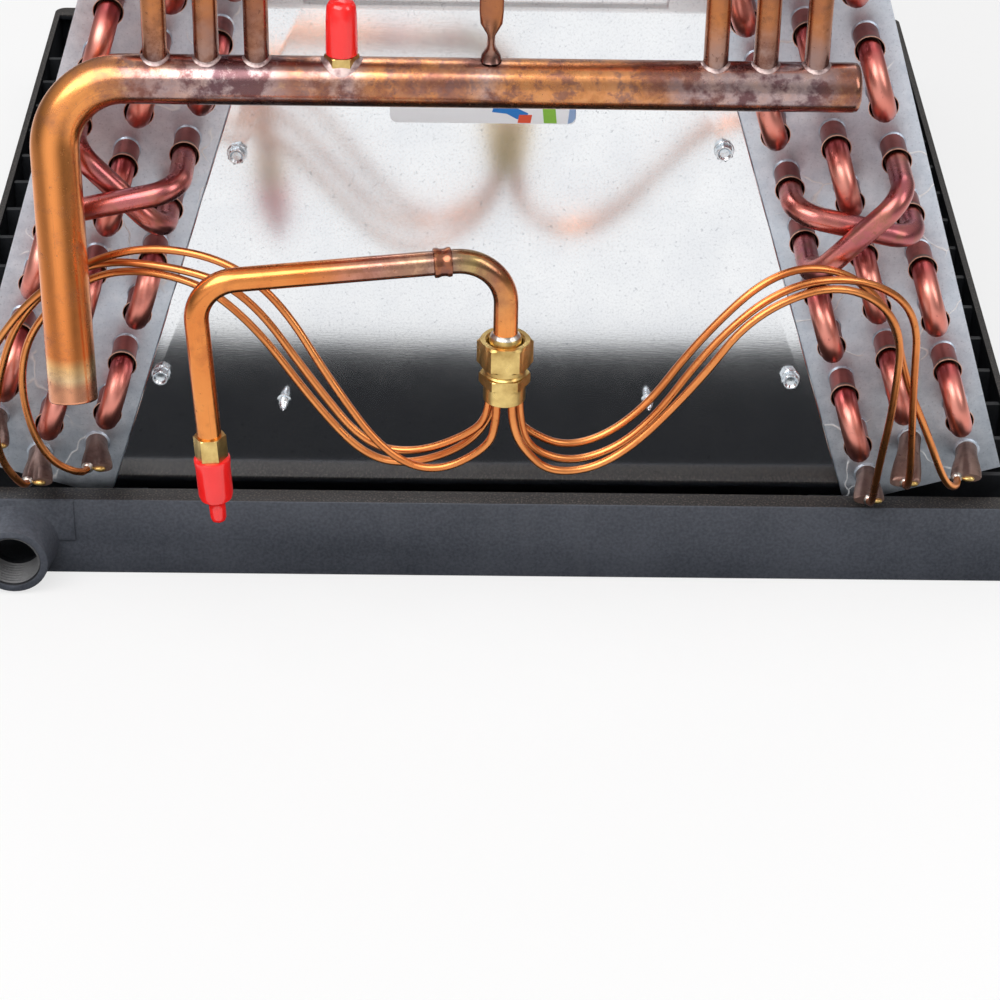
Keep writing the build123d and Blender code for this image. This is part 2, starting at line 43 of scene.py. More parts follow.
# ------------------------------------------------------------------ the room
# A pale floor under soft lamps.  The camera stands in front and above, looking down at the piped end.
class Shade:
    """One value in a shader, so that sums on it read as arithmetic."""

    def __init__(self, tree, socket=None):
        self.tree = tree
        self.socket = socket

    def node(self, kind, settings=None, sockets=None, out=0):
        made = self.tree.nodes.new(kind)
        for key, value in (settings or {}).items():
            if key == "stops":
                ramp = made.color_ramp
                while len(ramp.elements) < len(value):
                    ramp.elements.new(0.5)
                for element, (place, colour) in zip(ramp.elements, value):
                    element.position = place
                    element.color = (*colour, 1.0)
            else:
                setattr(made, key, value)
        for key, value in (sockets or {}).items():
            self.feed(made.inputs[key], value)
        return Shade(self.tree, made.outputs[out])

    def feed(self, target, value):
        if isinstance(value, Shade):
            self.tree.links.new(value.socket, target)
        elif isinstance(value, (tuple, list)) and len(value) == 3 and target.type == "RGBA":
            target.default_value = (*value, 1.0)
        else:
            target.default_value = value

    def maths(self, operation, *values):
        return self.node("ShaderNodeMath", {"operation": operation}, dict(enumerate(values)))

    def clamped(self, low, high):
        return self.node("ShaderNodeMapRange", {"clamp": True},
                         {"Value": self, "From Min": low, "From Max": high})

    def mixed(self, first, second):
        """Colours first and second, mixed by this value."""
        return self.node("ShaderNodeMix", {"data_type": "RGBA"}, {0: self, 6: first, 7: second}, out=2)

    def place(self, source="Object"):
        """Place on the surface, or the way looked in the world's shader, as a vector."""
        return self.node("ShaderNodeTexCoord", out={"Generated": 0, "UV": 2, "Object": 3}[source])

    def axis(self, index, source="Object"):
        """Part of the place along X, Y or Z, in metres on a surface."""
        return self.node("ShaderNodeSeparateXYZ", None, {0: self.place(source)}, out=index)

    def along(self):
        """Distance along a swept piece, in metres."""
        return self.axis(1, "UV")

    def noise(self, scale, detail, roughness=0.55, stretch=None, source="Object"):
        place = self.place(source)
        if stretch:
            place = self.node("ShaderNodeMapping", None, {"Vector": place, "Scale": stretch})
        return self.node("ShaderNodeTexNoise", None,
                         {"Vector": place, "Scale": scale, "Detail": detail, "Roughness": roughness})

    def ramp(self, low, high, stops):
        """Colour by this value: stops are (value, colour), or (value, grey level)."""
        places = [((at - low) / (high - low), colour if isinstance(colour, tuple) else (colour,) * 3)
                  for at, colour in stops]
        return self.node("ShaderNodeValToRGB", {"stops": places}, {0: self.clamped(low, high)})

    def coat(self, colour, roughness, normal=None, metallic=None):
        """Feeds the material's shader the values that vary over the surface."""
        shader = self.tree.nodes["Principled BSDF"]
        for socket, value in (("Base Color", colour), ("Roughness", roughness), ("Normal", normal),
                              ("Metallic", metallic)):
            if value is not None:
                self.feed(shader.inputs[socket], value)

    def bump(self, height, strength, distance):
        return self.node("ShaderNodeBump", None,
                         {"Height": height, "Strength": strength, "Distance": distance})


for sign, operation in (("add", "ADD"), ("sub", "SUBTRACT"), ("mul", "MULTIPLY")):
    setattr(Shade, f"__{sign}__", lambda self, other, kind=operation: self.maths(kind, self, other))
    setattr(Shade, f"__r{sign}__", lambda self, other, kind=operation: self.maths(kind, other, self))


def finish_of(name, fixed=None):
    """A new material and its node tree: fixed holds what is the same all over."""
    made = bpy.data.materials.new(name)
    made.use_nodes = True
    shader = made.node_tree.nodes["Principled BSDF"]
    for key, value in (fixed or {}).items():
        shader.inputs[key].default_value = (*value, 1.0) if isinstance(value, tuple) else value
    return made, Shade(made.node_tree)


floor_mesh = bpy.data.meshes.new("floor")
floor_mesh.from_pydata([(x * 7.0, y * 7.0, 0) for x, y in ((-1, -1), (1, -1), (1, 1), (-1, 1))], [],
                       [(0, 1, 2, 3)])
floor = bpy.data.objects.new("floor", floor_mesh)
floor.location.z = -0.5 * MM
scene.collection.objects.link(floor)
floor_finish, shade = finish_of("pale_floor", {"Roughness": 0.9})
ray = floor_finish.node_tree.nodes.new("ShaderNodeLightPath")
camera_ray = Shade(shade.tree, ray.outputs["Is Camera Ray"])
glossy_ray = Shade(shade.tree, ray.outputs["Is Glossy Ray"])
clear_ray = Shade(shade.tree, ray.outputs["Is Transmission Ray"])
# a stage effect: under and close around the object the floor is dark to every ray but the camera's,
# so that the sheet metal mirrors it dark
ahead = shade.axis(1)
beside = shade.maths("ABSOLUTE", shade.axis(0))
under = ahead.clamped(-0.156, -0.144) * (1.0 - ahead.clamped(0.600, 0.630)) * (1.0 - beside.clamped(0.25, 0.30))
dark = under * (1.0 - camera_ray)
shader = shade.tree.nodes["Principled BSDF"]
shade.feed(shader.inputs["Base Color"], dark.mixed((0.86, 0.86, 0.86), (0.03, 0.03, 0.034)))
outer = (beside.clamped(0.45, 1.1) * (1.0 - camera_ray)).mixed((1.0, 1.0, 1.0), (0.35, 0.35, 0.36))
glow = shade.node("ShaderNodeEmission", None,
                  {"Color": dark.mixed(outer, (0.02, 0.021, 0.023)), "Strength": 1.0})
whole = shade.node("ShaderNodeMixShader", None,
                   {0: 0.72 * camera_ray + 0.9 * glossy_ray + 0.9 * clear_ray,
                    1: Shade(shade.tree, shader.outputs[0]), 2: glow})
shade.tree.links.new(whole.socket, shade.tree.nodes["Material Output"].inputs["Surface"])
floor_mesh.materials.append(floor_finish)

world = bpy.data.worlds.new("soft_room")
scene.world = world
world.use_nodes = True
room = Shade(world.node_tree)
ray = world.node_tree.nodes.new("ShaderNodeLightPath")
seen = room.maths("MAXIMUM", Shade(world.node_tree, ray.outputs["Is Camera Ray"]),
                  Shade(world.node_tree, ray.outputs["Is Transmission Ray"]))
shiny = Shade(world.node_tree, ray.outputs["Is Glossy Ray"])
# mirrored light comes mostly from above, and from in front a little to the left
above = room.axis(2, "Generated").clamped(0.15, 0.8)
fore = (0.0 - 0.36 * room.axis(0, "Generated") - 0.93 * room.axis(1, "Generated")).clamped(0.42, 1.0)
strength = 0.42 + 0.58 * seen + shiny * (room.maths("MAXIMUM", 0.55 * above, 0.92 * fore * fore) - 0.24)
background = world.node_tree.nodes["Background"]
background.inputs["Color"].default_value = (1.0, 1.0, 1.0, 1.0)
room.feed(background.inputs["Strength"], strength)


def lamp(name, place, aim, size, power):
    data = bpy.data.lights.new(name, "AREA")
    data.shape = "RECTANGLE"
    data.size, data.size_y = size
    data.energy = power
    made = bpy.data.objects.new(name, data)
    made.location = place
    made.rotation_euler = (Vector(aim) - Vector(place)).to_track_quat("-Z", "Y").to_euler()
    scene.collection.objects.link(made)


lamp("key_lamp", (-0.9, -1.2, 2.0), (0, 0, 0.2), (2.3, 1.6), 46)
lamp("fill_lamp", (1.6, -0.9, 1.4), (0, 0, 0.2), (0.7, 1.4), 10)
lamp("back_lamp", (0.2, 1.7, 1.8), (0, 0.2, 0.3), (1.8, 0.8), 8)

look = bpy.data.cameras.new("camera")
look.lens = 107.86
look.sensor_width = 36.0
look.clip_end = 30.0
camera = bpy.data.objects.new("camera", look)
scene.collection.objects.link(camera)
yaw, pitch, roll = radians(1.0), radians(33.12), radians(-1.15)
forward = Vector((sin(yaw) * cos(pitch), cos(yaw) * cos(pitch), -sin(pitch)))
level = Vector((cos(yaw), -sin(yaw), 0.0))
down = forward.cross(level)
down = down if down.z < 0 else -down
right = level * cos(roll) + down * sin(roll)
down = down * cos(roll) - level * sin(roll)
camera.matrix_world = Matrix.Translation((-0.00972, -1.09451, 0.74436)) @ Matrix(
    (right, -down, -forward)).transposed().to_4x4()
scene.camera = camera
scene.view_settings.view_transform = "Standard"


# ------------------------------------------------------------------ drain pan
# One black plastic moulding under the slabs, with softened edges and a threaded drain at the front.
# The surface is faintly mottled and scuffed, and paler along the worn top edge; its front face is painted paler
# as painted light.
plastic, shade = finish_of("pan_plastic", {"Specular IOR Level": 0.45})
mottle = shade.noise(900.0, 2.0)
cloud = shade.noise(22.0, 5.0, 0.6)
scuff = shade.noise(38.0, 4.0, 0.7, stretch=(1.6, 1.0, 0.16)).clamped(0.56, 0.74)
# the front face gets a paler tone than the top and sides: painted light, with real scuffs over it
front = 1.0 - shade.axis(1).clamped(-0.0140, -0.0136)
ledge = shade.axis(2).clamped(0.0362, 0.0368) * (1.0 - front)
tone = shade.noise(700.0, 1.0).clamped(0.3, 0.7) * 0.5 + cloud.clamped(0.3, 0.75) * 0.5
colour = tone.mixed((0.006, 0.007, 0.009), (0.016, 0.018, 0.023))
front_painted_light = tone.mixed((0.050, 0.056, 0.070), (0.110, 0.120, 0.146))
colour = front.mixed(colour, (scuff * 0.4).mixed(front_painted_light, (0.11, 0.12, 0.14)))
dust = shade.noise(1100.0, 2.0).clamped(0.52, 0.66)
colour = (ledge * 0.7).mixed(colour, dust.mixed((0.020, 0.016, 0.014), (0.13, 0.105, 0.085)))
bore_middle = Vector((-0.200, 0.0, 0.0164))
bore_x = shade.axis(0) - bore_middle.x
bore_z = shade.axis(2) - bore_middle.z
from_bore = shade.maths("SQRT", bore_x * bore_x + bore_z * bore_z)
# inside the drain's bore the front's painted light is left out, near black as painted shade
inside = (1.0 - from_bore.clamped(0.01215, 0.0124)) * front
worn = front * (1.0 - shade.axis(1).clamped(-0.0306, -0.0300)) * (1.0 - inside) * scuff.clamped(0.0, 0.3)
colour = (worn * 0.5).mixed(colour, (0.15, 0.15, 0.155))
colour = (inside * 0.9).mixed(colour, (0.010, 0.010, 0.011))
shade.coat(colour, 0.42 + 0.2 * cloud + 0.1 * scuff, shade.bump(mottle + 0.3 * scuff, 0.28, 0.0003))


def own_mesh(name, mesh, finish, slot, *replaced, smooth=None):
    """Puts a finished mesh in the scene, riding on the one body."""
    made = bpy.data.objects.new(name, mesh)
    scene.collection.objects.link(made)
    mesh.name = name
    mesh.materials.clear()
    mesh.materials.append(finish)
    if smooth is not None:
        mesh.shade_smooth()
        mesh.set_sharp_from_angle(angle=radians(smooth))
    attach(made, "root")
    if replaced:
        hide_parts(*replaced)


def softened(node, width, segments=2, angle=35):
    """A copy of a CAD node as clean faces, its edges rounded."""
    mesh = nodes[node].data.copy()
    work = bmesh.new()
    work.from_mesh(mesh)
    bmesh.ops.remove_doubles(work, verts=work.verts, dist=1e-6)
    bmesh.ops.dissolve_limit(work, angle_limit=radians(1.0), verts=work.verts, edges=work.edges)
    edges = [e for e in work.edges if len(e.link_faces) == 2 and e.calc_face_angle() > radians(angle)]
    bmesh.ops.bevel(work, geom=edges, offset=width, offset_type="OFFSET", segments=segments,
                    profile=0.5, affect="EDGES", clamp_overlap=True)
    work.to_mesh(mesh)
    work.free()
    return mesh


own_mesh("drain_pan_moulding", softened("drain_pan", 0.0007), plastic, "pan_plastic", "drain_pan",
         smooth=40)


def meshed(work):
    """A mesh of the faces in work, all facing outwards."""
    bmesh.ops.recalc_face_normals(work, faces=work.faces)
    mesh = bpy.data.meshes.new("shape")
    work.to_mesh(mesh)
    work.free()
    return mesh


def bridged(work, loops, closed=False):
    """Faces between each loop and the next, and over both ends where closed."""
    for first, second in zip(loops, loops[1:]):
        for k in range(len(first)):
            after = (k + 1) % len(first)
            work.faces.new((first[k], first[after], second[after], second[k]))
    if closed:
        work.faces.new(loops[0][::-1])
        work.faces.new(loops[-1])


def skin(rings, sides):
    """Mesh through rings, each a centre with two half-axes.  V of the map runs along it in metres."""
    work = bmesh.new()
    layer = work.loops.layers.uv.new("UVMap")
    loops = []
    travelled = [0.0]
    for (before, _, _), (here, _, _) in zip(rings, rings[1:]):
        travelled.append(travelled[-1] + (here - before).length)
    for centre, across, up in rings:
        loops.append([work.verts.new(centre + across * cos(2 * pi * k / sides) + up * sin(2 * pi * k / sides))
                      for k in range(sides)])
    for row, (first, second) in enumerate(zip(loops, loops[1:])):
        for k in range(sides):
            following = (k + 1) % sides
            face = work.faces.new((first[k], first[following], second[following], second[k]))
            for loop, (u, v) in zip(face.loops, ((k, row), (k + 1, row), (k + 1, row + 1), (k, row + 1))):
                loop[layer].uv = (u / sides, travelled[v])
    work.faces.new(loops[0][::-1])
    work.faces.new(loops[-1])
    return meshed(work)


def bent_line(corners, radii, step=radians(7)):
    """Centre line of a bent tube: straight runs joined by arcs, one radius for each inner corner."""
    line = [Vector(corners[0])]
    for before, corner, after, radius in zip(corners, corners[1:], corners[2:], radii):
        before, corner, after = Vector(before), Vector(corner), Vector(after)
        inward, outward = (before - corner).normalized(), (after - corner).normalized()
        turn = pi - inward.angle(outward)
        setback = radius * tan(turn / 2)
        middle = corner + (inward + outward).normalized() * radius / cos(turn / 2)
        start = corner + inward * setback - middle
        normal = start.cross(corner + outward * setback - middle).normalized()
        count = max(2, int(turn / step) + 1)
        line += [middle + Matrix.Rotation(turn * k / count, 3, normal) @ start for k in range(count + 1)]
    line.append(Vector(corners[-1]))
    return line


def rings_along(line, radius):
    """Rings square to a line.  radius is a number or one for each point."""
    radii = radius if isinstance(radius, (list, tuple)) else [radius] * len(line)
    tangents = [(after - before).normalized()
                for before, after in zip([line[0], *line[:-1]], [*line[1:], line[-1]])]
    across = tangents[0].orthogonal().normalized()
    rings = []
    for centre, tangent, size in zip(line, tangents, radii):
        across = (across - tangent * across.dot(tangent)).normalized()
        rings.append((centre, across * size, tangent.cross(across) * size))
    return rings


def tube_mesh(name, line, radius, sides, finish, node):
    """A tube swept along a line in place of a CAD node."""
    own_mesh(name, skin(rings_along(line, radius), sides), finish, "copper_tube", node, smooth=50)


def turned(origin, direction, profile, sides=40):
    """A turned piece: profile is (distance along, radius) in millimetres; a zero radius closes it."""
    direction = Vector(direction).normalized()
    across = direction.orthogonal().normalized()
    other = direction.cross(across)
    rings = [(Vector(origin) + direction * (along * MM), across * max(radius * MM, 1e-6),
              other * max(radius * MM, 1e-6)) for along, radius in profile]
    return skin(rings, sides)


# the drain's tapered thread: sharp ridges round the bore
ridge = []
turns, thread_pitch, steps_round = 8, 1.9 * MM, 48
for k in range(turns * steps_round + 1):
    angle = 2 * pi * k / steps_round
    outwards = Vector((cos(angle), 0.0, sin(angle)))
    y = -0.0312 + thread_pitch * angle / (2 * pi)
    ridge.append((bore_middle + Vector((0, y, 0)) + outwards * 11.85 * MM, outwards * 0.75 * MM,
                  Vector((0, 1, 0)) * 0.55 * MM))
# the thread is painted paler than the pan's black plastic, as painted light on its ridges
thread_plastic, shade = finish_of("thread_plastic", {"Specular IOR Level": 0.5})
grit = shade.noise(600.0, 2.0)
shade.coat(grit.mixed((0.07, 0.07, 0.072), (0.17, 0.17, 0.175)), 0.35 + 0.2 * grit)
own_mesh("drain_thread", skin(ridge, 4), thread_plastic, "pan_plastic", smooth=30)

# ------------------------------------------------------------------ finned slabs
# Aluminium fins, pressed at close pitch over three rows of tube, with a dark box behind them as painted shade.
lean = radians(17.13)
slab_length, slab_thickness, foot_z = 520.7 * MM, 66.0 * MM, 30.3 * MM
foot_x = 8.2 * MM + slab_length * sin(lean)
sheet = 1.2 * MM
fin_length = 457.2 * MM
back_y = fin_length + 2 * sheet
tube_pitch, row_pitch, first_tube = 25.4 * MM, 22.0 * MM, 12.7 * MM
tube_radius = 4.76 * MM
SIDES = {"right": 1, "left": -1}
ROWS = ("inner", "middle", "outer")


def slab_point(side, s, t, y=0.0):
    """s up the slope from the slab's foot, t outwards from its inner face."""
    return Vector((side * (foot_x - s * sin(lean) + t * cos(lean)), y, foot_z + s * cos(lean) + t * sin(lean)))


def tube_place(side, row, index, y=0.0):
    raised = (row == 1) == (side > 0)
    return slab_point(side, first_tube + index * tube_pitch + (tube_pitch / 2 if raised else 0.0),
                      row_pitch * (row + 0.5), y)


aluminium, shade = finish_of("fin_aluminium", {"Metallic": 1.0})
patch = shade.noise(30.0, 4.0)
shade.coat(patch.clamped(0.3, 0.7).mixed((0.66, 0.68, 0.70), (0.78, 0.79, 0.80)),
           0.36 + 0.08 * patch)

# painted shade: the dark box seen between the fins
fin_gap_shade, shade = finish_of("slab_shadow", {"Metallic": 0.6})
streak = shade.noise(60.0, 3.0)
shade.coat(streak.mixed((0.17, 0.175, 0.18), (0.24, 0.24, 0.25)), 0.6 + 0.1 * streak)


def repeater():
    """Node tree that stands one shape on every point of a mesh and gives it a finish."""
    tree = bpy.data.node_groups.new("stand_on_points", "GeometryNodeTree")
    face = tree.interface
    face.new_socket("Geometry", in_out="INPUT", socket_type="NodeSocketGeometry")
    face.new_socket("Shape", in_out="INPUT", socket_type="NodeSocketObject")
    face.new_socket("Finish", in_out="INPUT", socket_type="NodeSocketMaterial")
    face.new_socket("Geometry", in_out="OUTPUT", socket_type="NodeSocketGeometry")
    given = tree.nodes.new("NodeGroupInput")
    made = tree.nodes.new("NodeGroupOutput")
    shape = tree.nodes.new("GeometryNodeObjectInfo")
    stand = tree.nodes.new("GeometryNodeInstanceOnPoints")
    real = tree.nodes.new("GeometryNodeRealizeInstances")
    paint = tree.nodes.new("GeometryNodeSetMaterial")
    for source, target in ((given.outputs["Geometry"], stand.inputs["Points"]),
                           (given.outputs["Shape"], shape.inputs["Object"]),
                           (shape.outputs["Geometry"], stand.inputs["Instance"]),
                           (stand.outputs["Instances"], real.inputs["Geometry"]),
                           (real.outputs["Geometry"], paint.inputs["Geometry"]),
                           (given.outputs["Finish"], paint.inputs["Material"]),
                           (paint.outputs["Geometry"], made.inputs["Geometry"])):
        tree.links.new(source, target)
    return tree


stand_on_points = repeater()


def repeated(name, shape, places, finish, slot, *replaced, smooth=None):
    """shape set out on places by the node tree, then made one plain mesh."""
    pattern = bpy.data.objects.new(name + "_pattern", shape)
    points = bpy.data.meshes.new(name + "_points")
    points.from_pydata([tuple(p) for p in places], [], [])
    holder = bpy.data.objects.new(name + "_holder", points)
    for each in (pattern, holder):
        scene.collection.objects.link(each)
    modifier = holder.modifiers.new("repeat", "NODES")
    modifier.node_group = stand_on_points
    sockets = {item.name: item.identifier for item in stand_on_points.interface.items_tree
               if item.in_out == "INPUT"}
    modifier[sockets["Shape"]] = pattern
    modifier[sockets["Finish"]] = finish
    bpy.context.view_layer.update()
    mesh = bpy.data.meshes.new_from_object(holder.evaluated_get(bpy.context.evaluated_depsgraph_get()))
    for each in (holder, pattern):
        bpy.data.objects.remove(each)
    own_mesh(name, mesh, finish, slot, *replaced, smooth=smooth)


fin_pitch = 1.8 * MM
for side_name, side in SIDES.items():
    outline = [(0.0, 0.0), (slab_length, 0.0)]
    teeth = 41
    outline += [(slab_length * (1 - k / teeth), slab_thickness - (0.9 * MM if k % 2 else 0.0))
                for k in range(teeth + 1)]
    corners = [slab_point(side, s, t) for s, t in outline]
    work = bmesh.new()
    near = [work.verts.new(c) for c in corners]
    far = [work.verts.new(c + Vector((0, 0.16 * MM, 0))) for c in corners]
    work.faces.new(near)
    work.faces.new(far[::-1])
    for a, b, c, d in zip(near, near[1:] + near[:1], far[1:] + far[:1], far):
        work.faces.new((a, b, c, d))
    fin = meshed(work)
    count = int(fin_length / fin_pitch)
    places = [(0, sheet + fin_pitch * (k + 0.3), 0) for k in range(count)]
    repeated(f"fins_{side_name}", fin, places, aluminium, "fin_aluminium", f"fin_pack_{side_name}")
    # a dark box inside the fins, painted shade seen through the gaps between them
    inset = 3 * MM
    corners = [slab_point(side, s, t, y) for y in (sheet, sheet + fin_length)
               for s, t in ((1 * MM, inset), (slab_length - 1 * MM, inset),
                            (slab_length - 1 * MM, slab_thickness - inset), (1 * MM, slab_thickness - inset))]
    core = bpy.data.meshes.new(f"slab_core_{side_name}")
    core.from_pydata([tuple(c) for c in corners], [], [(0, 1, 2, 3), (7, 6, 5, 4), (0, 4, 5, 1), (1, 5, 6, 2),
                                                       (2, 6, 7, 3), (3, 7, 4, 0)])
    own_mesh(f"slab_core_{side_name}", core, fin_gap_shade, "fin_aluminium")

# ------------------------------------------------------------------ tube sheets
# Galvanised plates that hold the tube ends, with fine pale scratches from handling.
galvanised, shade = finish_of("galvanised_sheet")
grain = shade.noise(150.0, 5.0, 0.65)
spangle = shade.noise(850.0, 3.0, 0.7)
# the scratches follow the edges of large cells, bent by a noise
shift = shade.node("ShaderNodeTexNoise", None, {"Vector": shade.place(), "Scale": 45.0}, out=1)
bent = shade.node("ShaderNodeMix", {"data_type": "VECTOR"}, {0: 0.025, 4: shade.place(), 5: shift}, out=1)
web = shade.node("ShaderNodeTexVoronoi", {"feature": "DISTANCE_TO_EDGE"}, {"Vector": bent, "Scale": 19.0})
scratch = (1.0 - web.clamped(0.0, 0.010)) * shade.noise(30.0, 3.0).clamped(0.48, 0.54)
colour = grain.clamped(0.3, 0.7).mixed((0.58, 0.64, 0.72), (0.80, 0.85, 0.92))
colour = (spangle.clamped(0.56, 0.70) * 0.5).mixed(colour, (0.34, 0.38, 0.44))
colour = scratch.mixed(colour, (1.0, 1.0, 1.0))
shade.coat(colour, 0.36 + 0.16 * grain + 0.2 * scratch,
           shade.bump(0.5 * grain + spangle + scratch, 0.30, 0.0002), 1.0 - 0.85 * scratch)


def painted(finish, *names):
    """Gives CAD nodes, kept as they are, their real finish."""
    for name in names:
        mesh = nodes[name].data
        mesh.materials.clear()
        mesh.materials.append(finish)


painted(galvanised, *[f"tube_sheet_{side}_{end}" for side in SIDES for end in ("front", "rear")])

# ------------------------------------------------------------------ end plates and ridge cap
# Smooth galvanised sheet that closes both ends of the A, its edges softened.  It is bright enough to
# mirror the floor and the pipework, with faint streaks and specks.  The cap has the tube sheets' finish.
bright_sheet, shade = finish_of("bright_sheet", {"Metallic": 1.0})
speck = shade.noise(900.0, 3.0, 0.7)
cloud = shade.noise(40.0, 4.0, 0.6)
rolled = shade.noise(1.0, 3.0, 0.7, stretch=(140.0, 1.0, 1500.0))
fleck = shade.noise(380.0, 4.0, 0.75).clamped(0.605, 0.650)
colour = cloud.clamped(0.3, 0.7).mixed((0.84, 0.86, 0.89), (0.94, 0.955, 0.97))
colour = (fleck * 0.42 + speck.clamped(0.52, 0.68) * 0.25).mixed(colour, (0.40, 0.42, 0.46))
bead_z = 0.265
fold = 1.0 - shade.maths("ABSOLUTE", shade.axis(2) - bead_z).clamped(0.0026, 0.0050)
shade.coat(colour,
           0.075 + 0.05 * cloud + 0.05 * speck + 0.42 * fold + 0.045 * shade.axis(2).clamped(0.110, 0.170),
           shade.bump(0.7 * speck + rolled, 0.065, 0.00012))
for end in ("front", "rear"):
    own_mesh(f"{end}_plate_sheet", softened(f"{end}_end_plate", 1.4 * MM, 4, 12), bright_sheet,
             "galvanised_sheet", f"{end}_end_plate", smooth=60)
painted(galvanised, "apex_cap")

# ------------------------------------------------------------------ bent tube in the slabs
# Hard copper return bends and crossovers, brazed into flared tube ends that the flame has darkened.
def copper_finish(name, tones, dark, rough, stain, scale=1.0, heat=None):
    """Bare copper with fine marks along it.  tones is a light and a middle colour, or a function
    that gives the colour; dark is the colour of stains; heat gives (share, colour) of brazing scale."""
    made, shade = finish_of(name, {"Metallic": 1.0})
    drift = shade.noise(24.0 * scale, 4.0, 0.6)
    blotch = shade.noise(80.0 * scale, 6.0, 0.68)
    fine = shade.noise(1.0, 3.0, 0.6, stretch=(90.0, 22.0, 1.0), source="UV")
    pit = shade.noise(420.0, 3.0, 0.7).clamped(0.64, 0.70)
    colour = tones(shade) if callable(tones) else drift.clamped(0.36, 0.66).mixed(tones[1], tones[0])
    colour = (blotch.clamped(0.52, 0.74) * stain).mixed(colour, dark)
    if heat:
        share, tint = heat(shade, blotch)
        colour = share.mixed(colour, tint)
    colour = (fine.clamped(0.60, 0.70) * 0.22 + pit * 0.45).mixed(colour, dark)
    shade.coat(colour, rough + 0.11 * blotch.clamped(0.42, 0.75) + 0.05 * fine + 0.2 * pit,
               shade.bump(0.5 * fine + blotch, 0.10, 0.0002))
    return made


def bend_tones(shade):
    """Maroon where the flame played at both ends, orange red on the crown."""
    ends = shade.along() + 0.006 * (shade.noise(70.0, 2.0) - 0.5)
    return ends.ramp(0.0, 0.041, [(0.0, (0.16, 0.035, 0.035)), (0.007, (0.36, 0.075, 0.07)),
                                  (0.017, (0.78, 0.26, 0.20)), (0.028, (0.84, 0.34, 0.27)),
                                  (0.037, (0.62, 0.12, 0.12)), (0.041, (0.36, 0.06, 0.055))])


red_copper = copper_finish("return_bend_copper", bend_tones, (0.40, 0.12, 0.12), rough=0.31, stain=0.5)
stub_copper = copper_finish("tube_end_copper", ((0.42, 0.11, 0.09), (0.26, 0.055, 0.045)), (0.10, 0.03, 0.028),
                            rough=0.28, stain=0.7)
crossover_copper = copper_finish("crossover_copper", ((0.66, 0.22, 0.18), (0.42, 0.12, 0.14)),
                                 (0.30, 0.16, 0.08), rough=0.24, stain=0.8, scale=1.6)


def lip_tones(shade):
    """Brown outside the flared lip, bare copper on its rim and dark within."""
    return shade.along().ramp(0.0, 0.006, [(0.0, (0.20, 0.10, 0.075)), (0.0029, (0.26, 0.13, 0.09)),
                                           (0.0034, (0.86, 0.50, 0.36)), (0.0040, (0.80, 0.44, 0.32)),
                                           (0.0044, (0.08, 0.04, 0.03)), (0.006, (0.04, 0.02, 0.018))])


burnt_copper = copper_finish("flame_darkened_copper", lip_tones, (0.05, 0.028, 0.022), rough=0.32, stain=0.5,
                             scale=2.0)
stub, bell_long = 12.0 * MM, 4.0 * MM
mouth = -(stub + bell_long)
turn_radius = tube_pitch / 2
RISE = {side: Vector((-side * sin(lean), 0, cos(lean))) for side in (1, -1)}


def u_shape(side, direction, leg):
    """Half turn of tube standing on two points half a pitch each way along the slope."""
    rise = RISE[side] * turn_radius
    out = Vector((0, direction, 0))
    arc = [out * (leg + turn_radius * sin(pi * k / 18)) - rise * cos(pi * k / 18) for k in range(1, 19)]
    return skin(rings_along([-rise, -rise + out * leg, *arc, rise], tube_radius), 16)


crossover_at = 6
for side_name, side in SIDES.items():
    for row, row_name in enumerate(ROWS):
        pairs = [k for k in range(1, 19, 2) if row == 1 or k != crossover_at - 1]
        places = [(tube_place(side, row, k, mouth) + tube_place(side, row, k + 1, mouth)) / 2 for k in pairs]
        repeated(f"bends_{side_name}_{row_name}", u_shape(side, -1, 0.5 * MM), places, red_copper,
                 "copper_tube", f"return_bends_{side_name}_{row_name}", smooth=50)
        rear = [(tube_place(side, row, k, back_y) + tube_place(side, row, k + 1, back_y)) / 2
                for k in range(0, 20, 2)]
        repeated(f"rear_bends_{side_name}_{row_name}", u_shape(side, 1, 5.0 * MM), rear,
                 red_copper, "copper_tube", f"hairpins_{side_name}_{row_name}", smooth=50)
        ends = [tube_place(side, row, k) for k in range(1, 19)]
        tube = turned((0, 0, 0), (0, -1, 0), [(0, 5.2), (0.5, 5.2), (6, 5.2), (12.6, 5.2)], 22)
        repeated(f"tube_ends_{side_name}_{row_name}", tube, ends, stub_copper, "copper_tube", smooth=50)
        lip = [(12.4, 5.20), (13.6, 5.26), (14.6, 5.55), (15.3, 5.95), (15.8, 6.15), (16.15, 6.12),
               (16.2, 5.92), (15.7, 5.62), (14.9, 5.10), (14.2, 4.80)]
        bell = turned((0, 0, 0), (0, -1, 0), lip, 22)
        repeated(f"bells_{side_name}_{row_name}", bell, ends, burnt_copper, "copper_tube", smooth=50)
        collar = turned((0, 0, 0), (0, -1, 0),
                        [(-0.1, 5.75), (0.25, 5.55), (0.6, 5.4), (0.8, 5.3), (0.85, 5.1)], 22)
        repeated(f"collars_{side_name}_{row_name}", collar, [tube_place(side, row, k) for k in range(20)],
                 galvanised, "galvanised_sheet", smooth=60)

near_run = mouth - turn_radius - tube_radius * 1.5 - 0.6 * MM
far_run = near_run - 2 * tube_radius - 0.6 * MM
# the rows that each side's outer and inner crossovers join: upper end, lower end
FRONT_PAIRS = {"right": ((2, 0), (0, 2)), "left": ((0, 2), (2, 0))}
for side_name, side in SIDES.items():
    for layer, run, (upper_row, lower_row) in zip(("over", "under"), (far_run, near_run),
                                                  FRONT_PAIRS[side_name]):
        upper = tube_place(side, upper_row, crossover_at, mouth)
        lower = tube_place(side, lower_row, crossover_at - 1, mouth)
        out = Vector((0, run - mouth, 0))
        line = bent_line([upper, upper + out, lower + out, lower], [11.5 * MM, 11.5 * MM])
        tube_mesh(f"crossover_{layer}_{side_name}_tube", line, tube_radius, 20, crossover_copper,
                  f"crossover_{layer}_{side_name}")

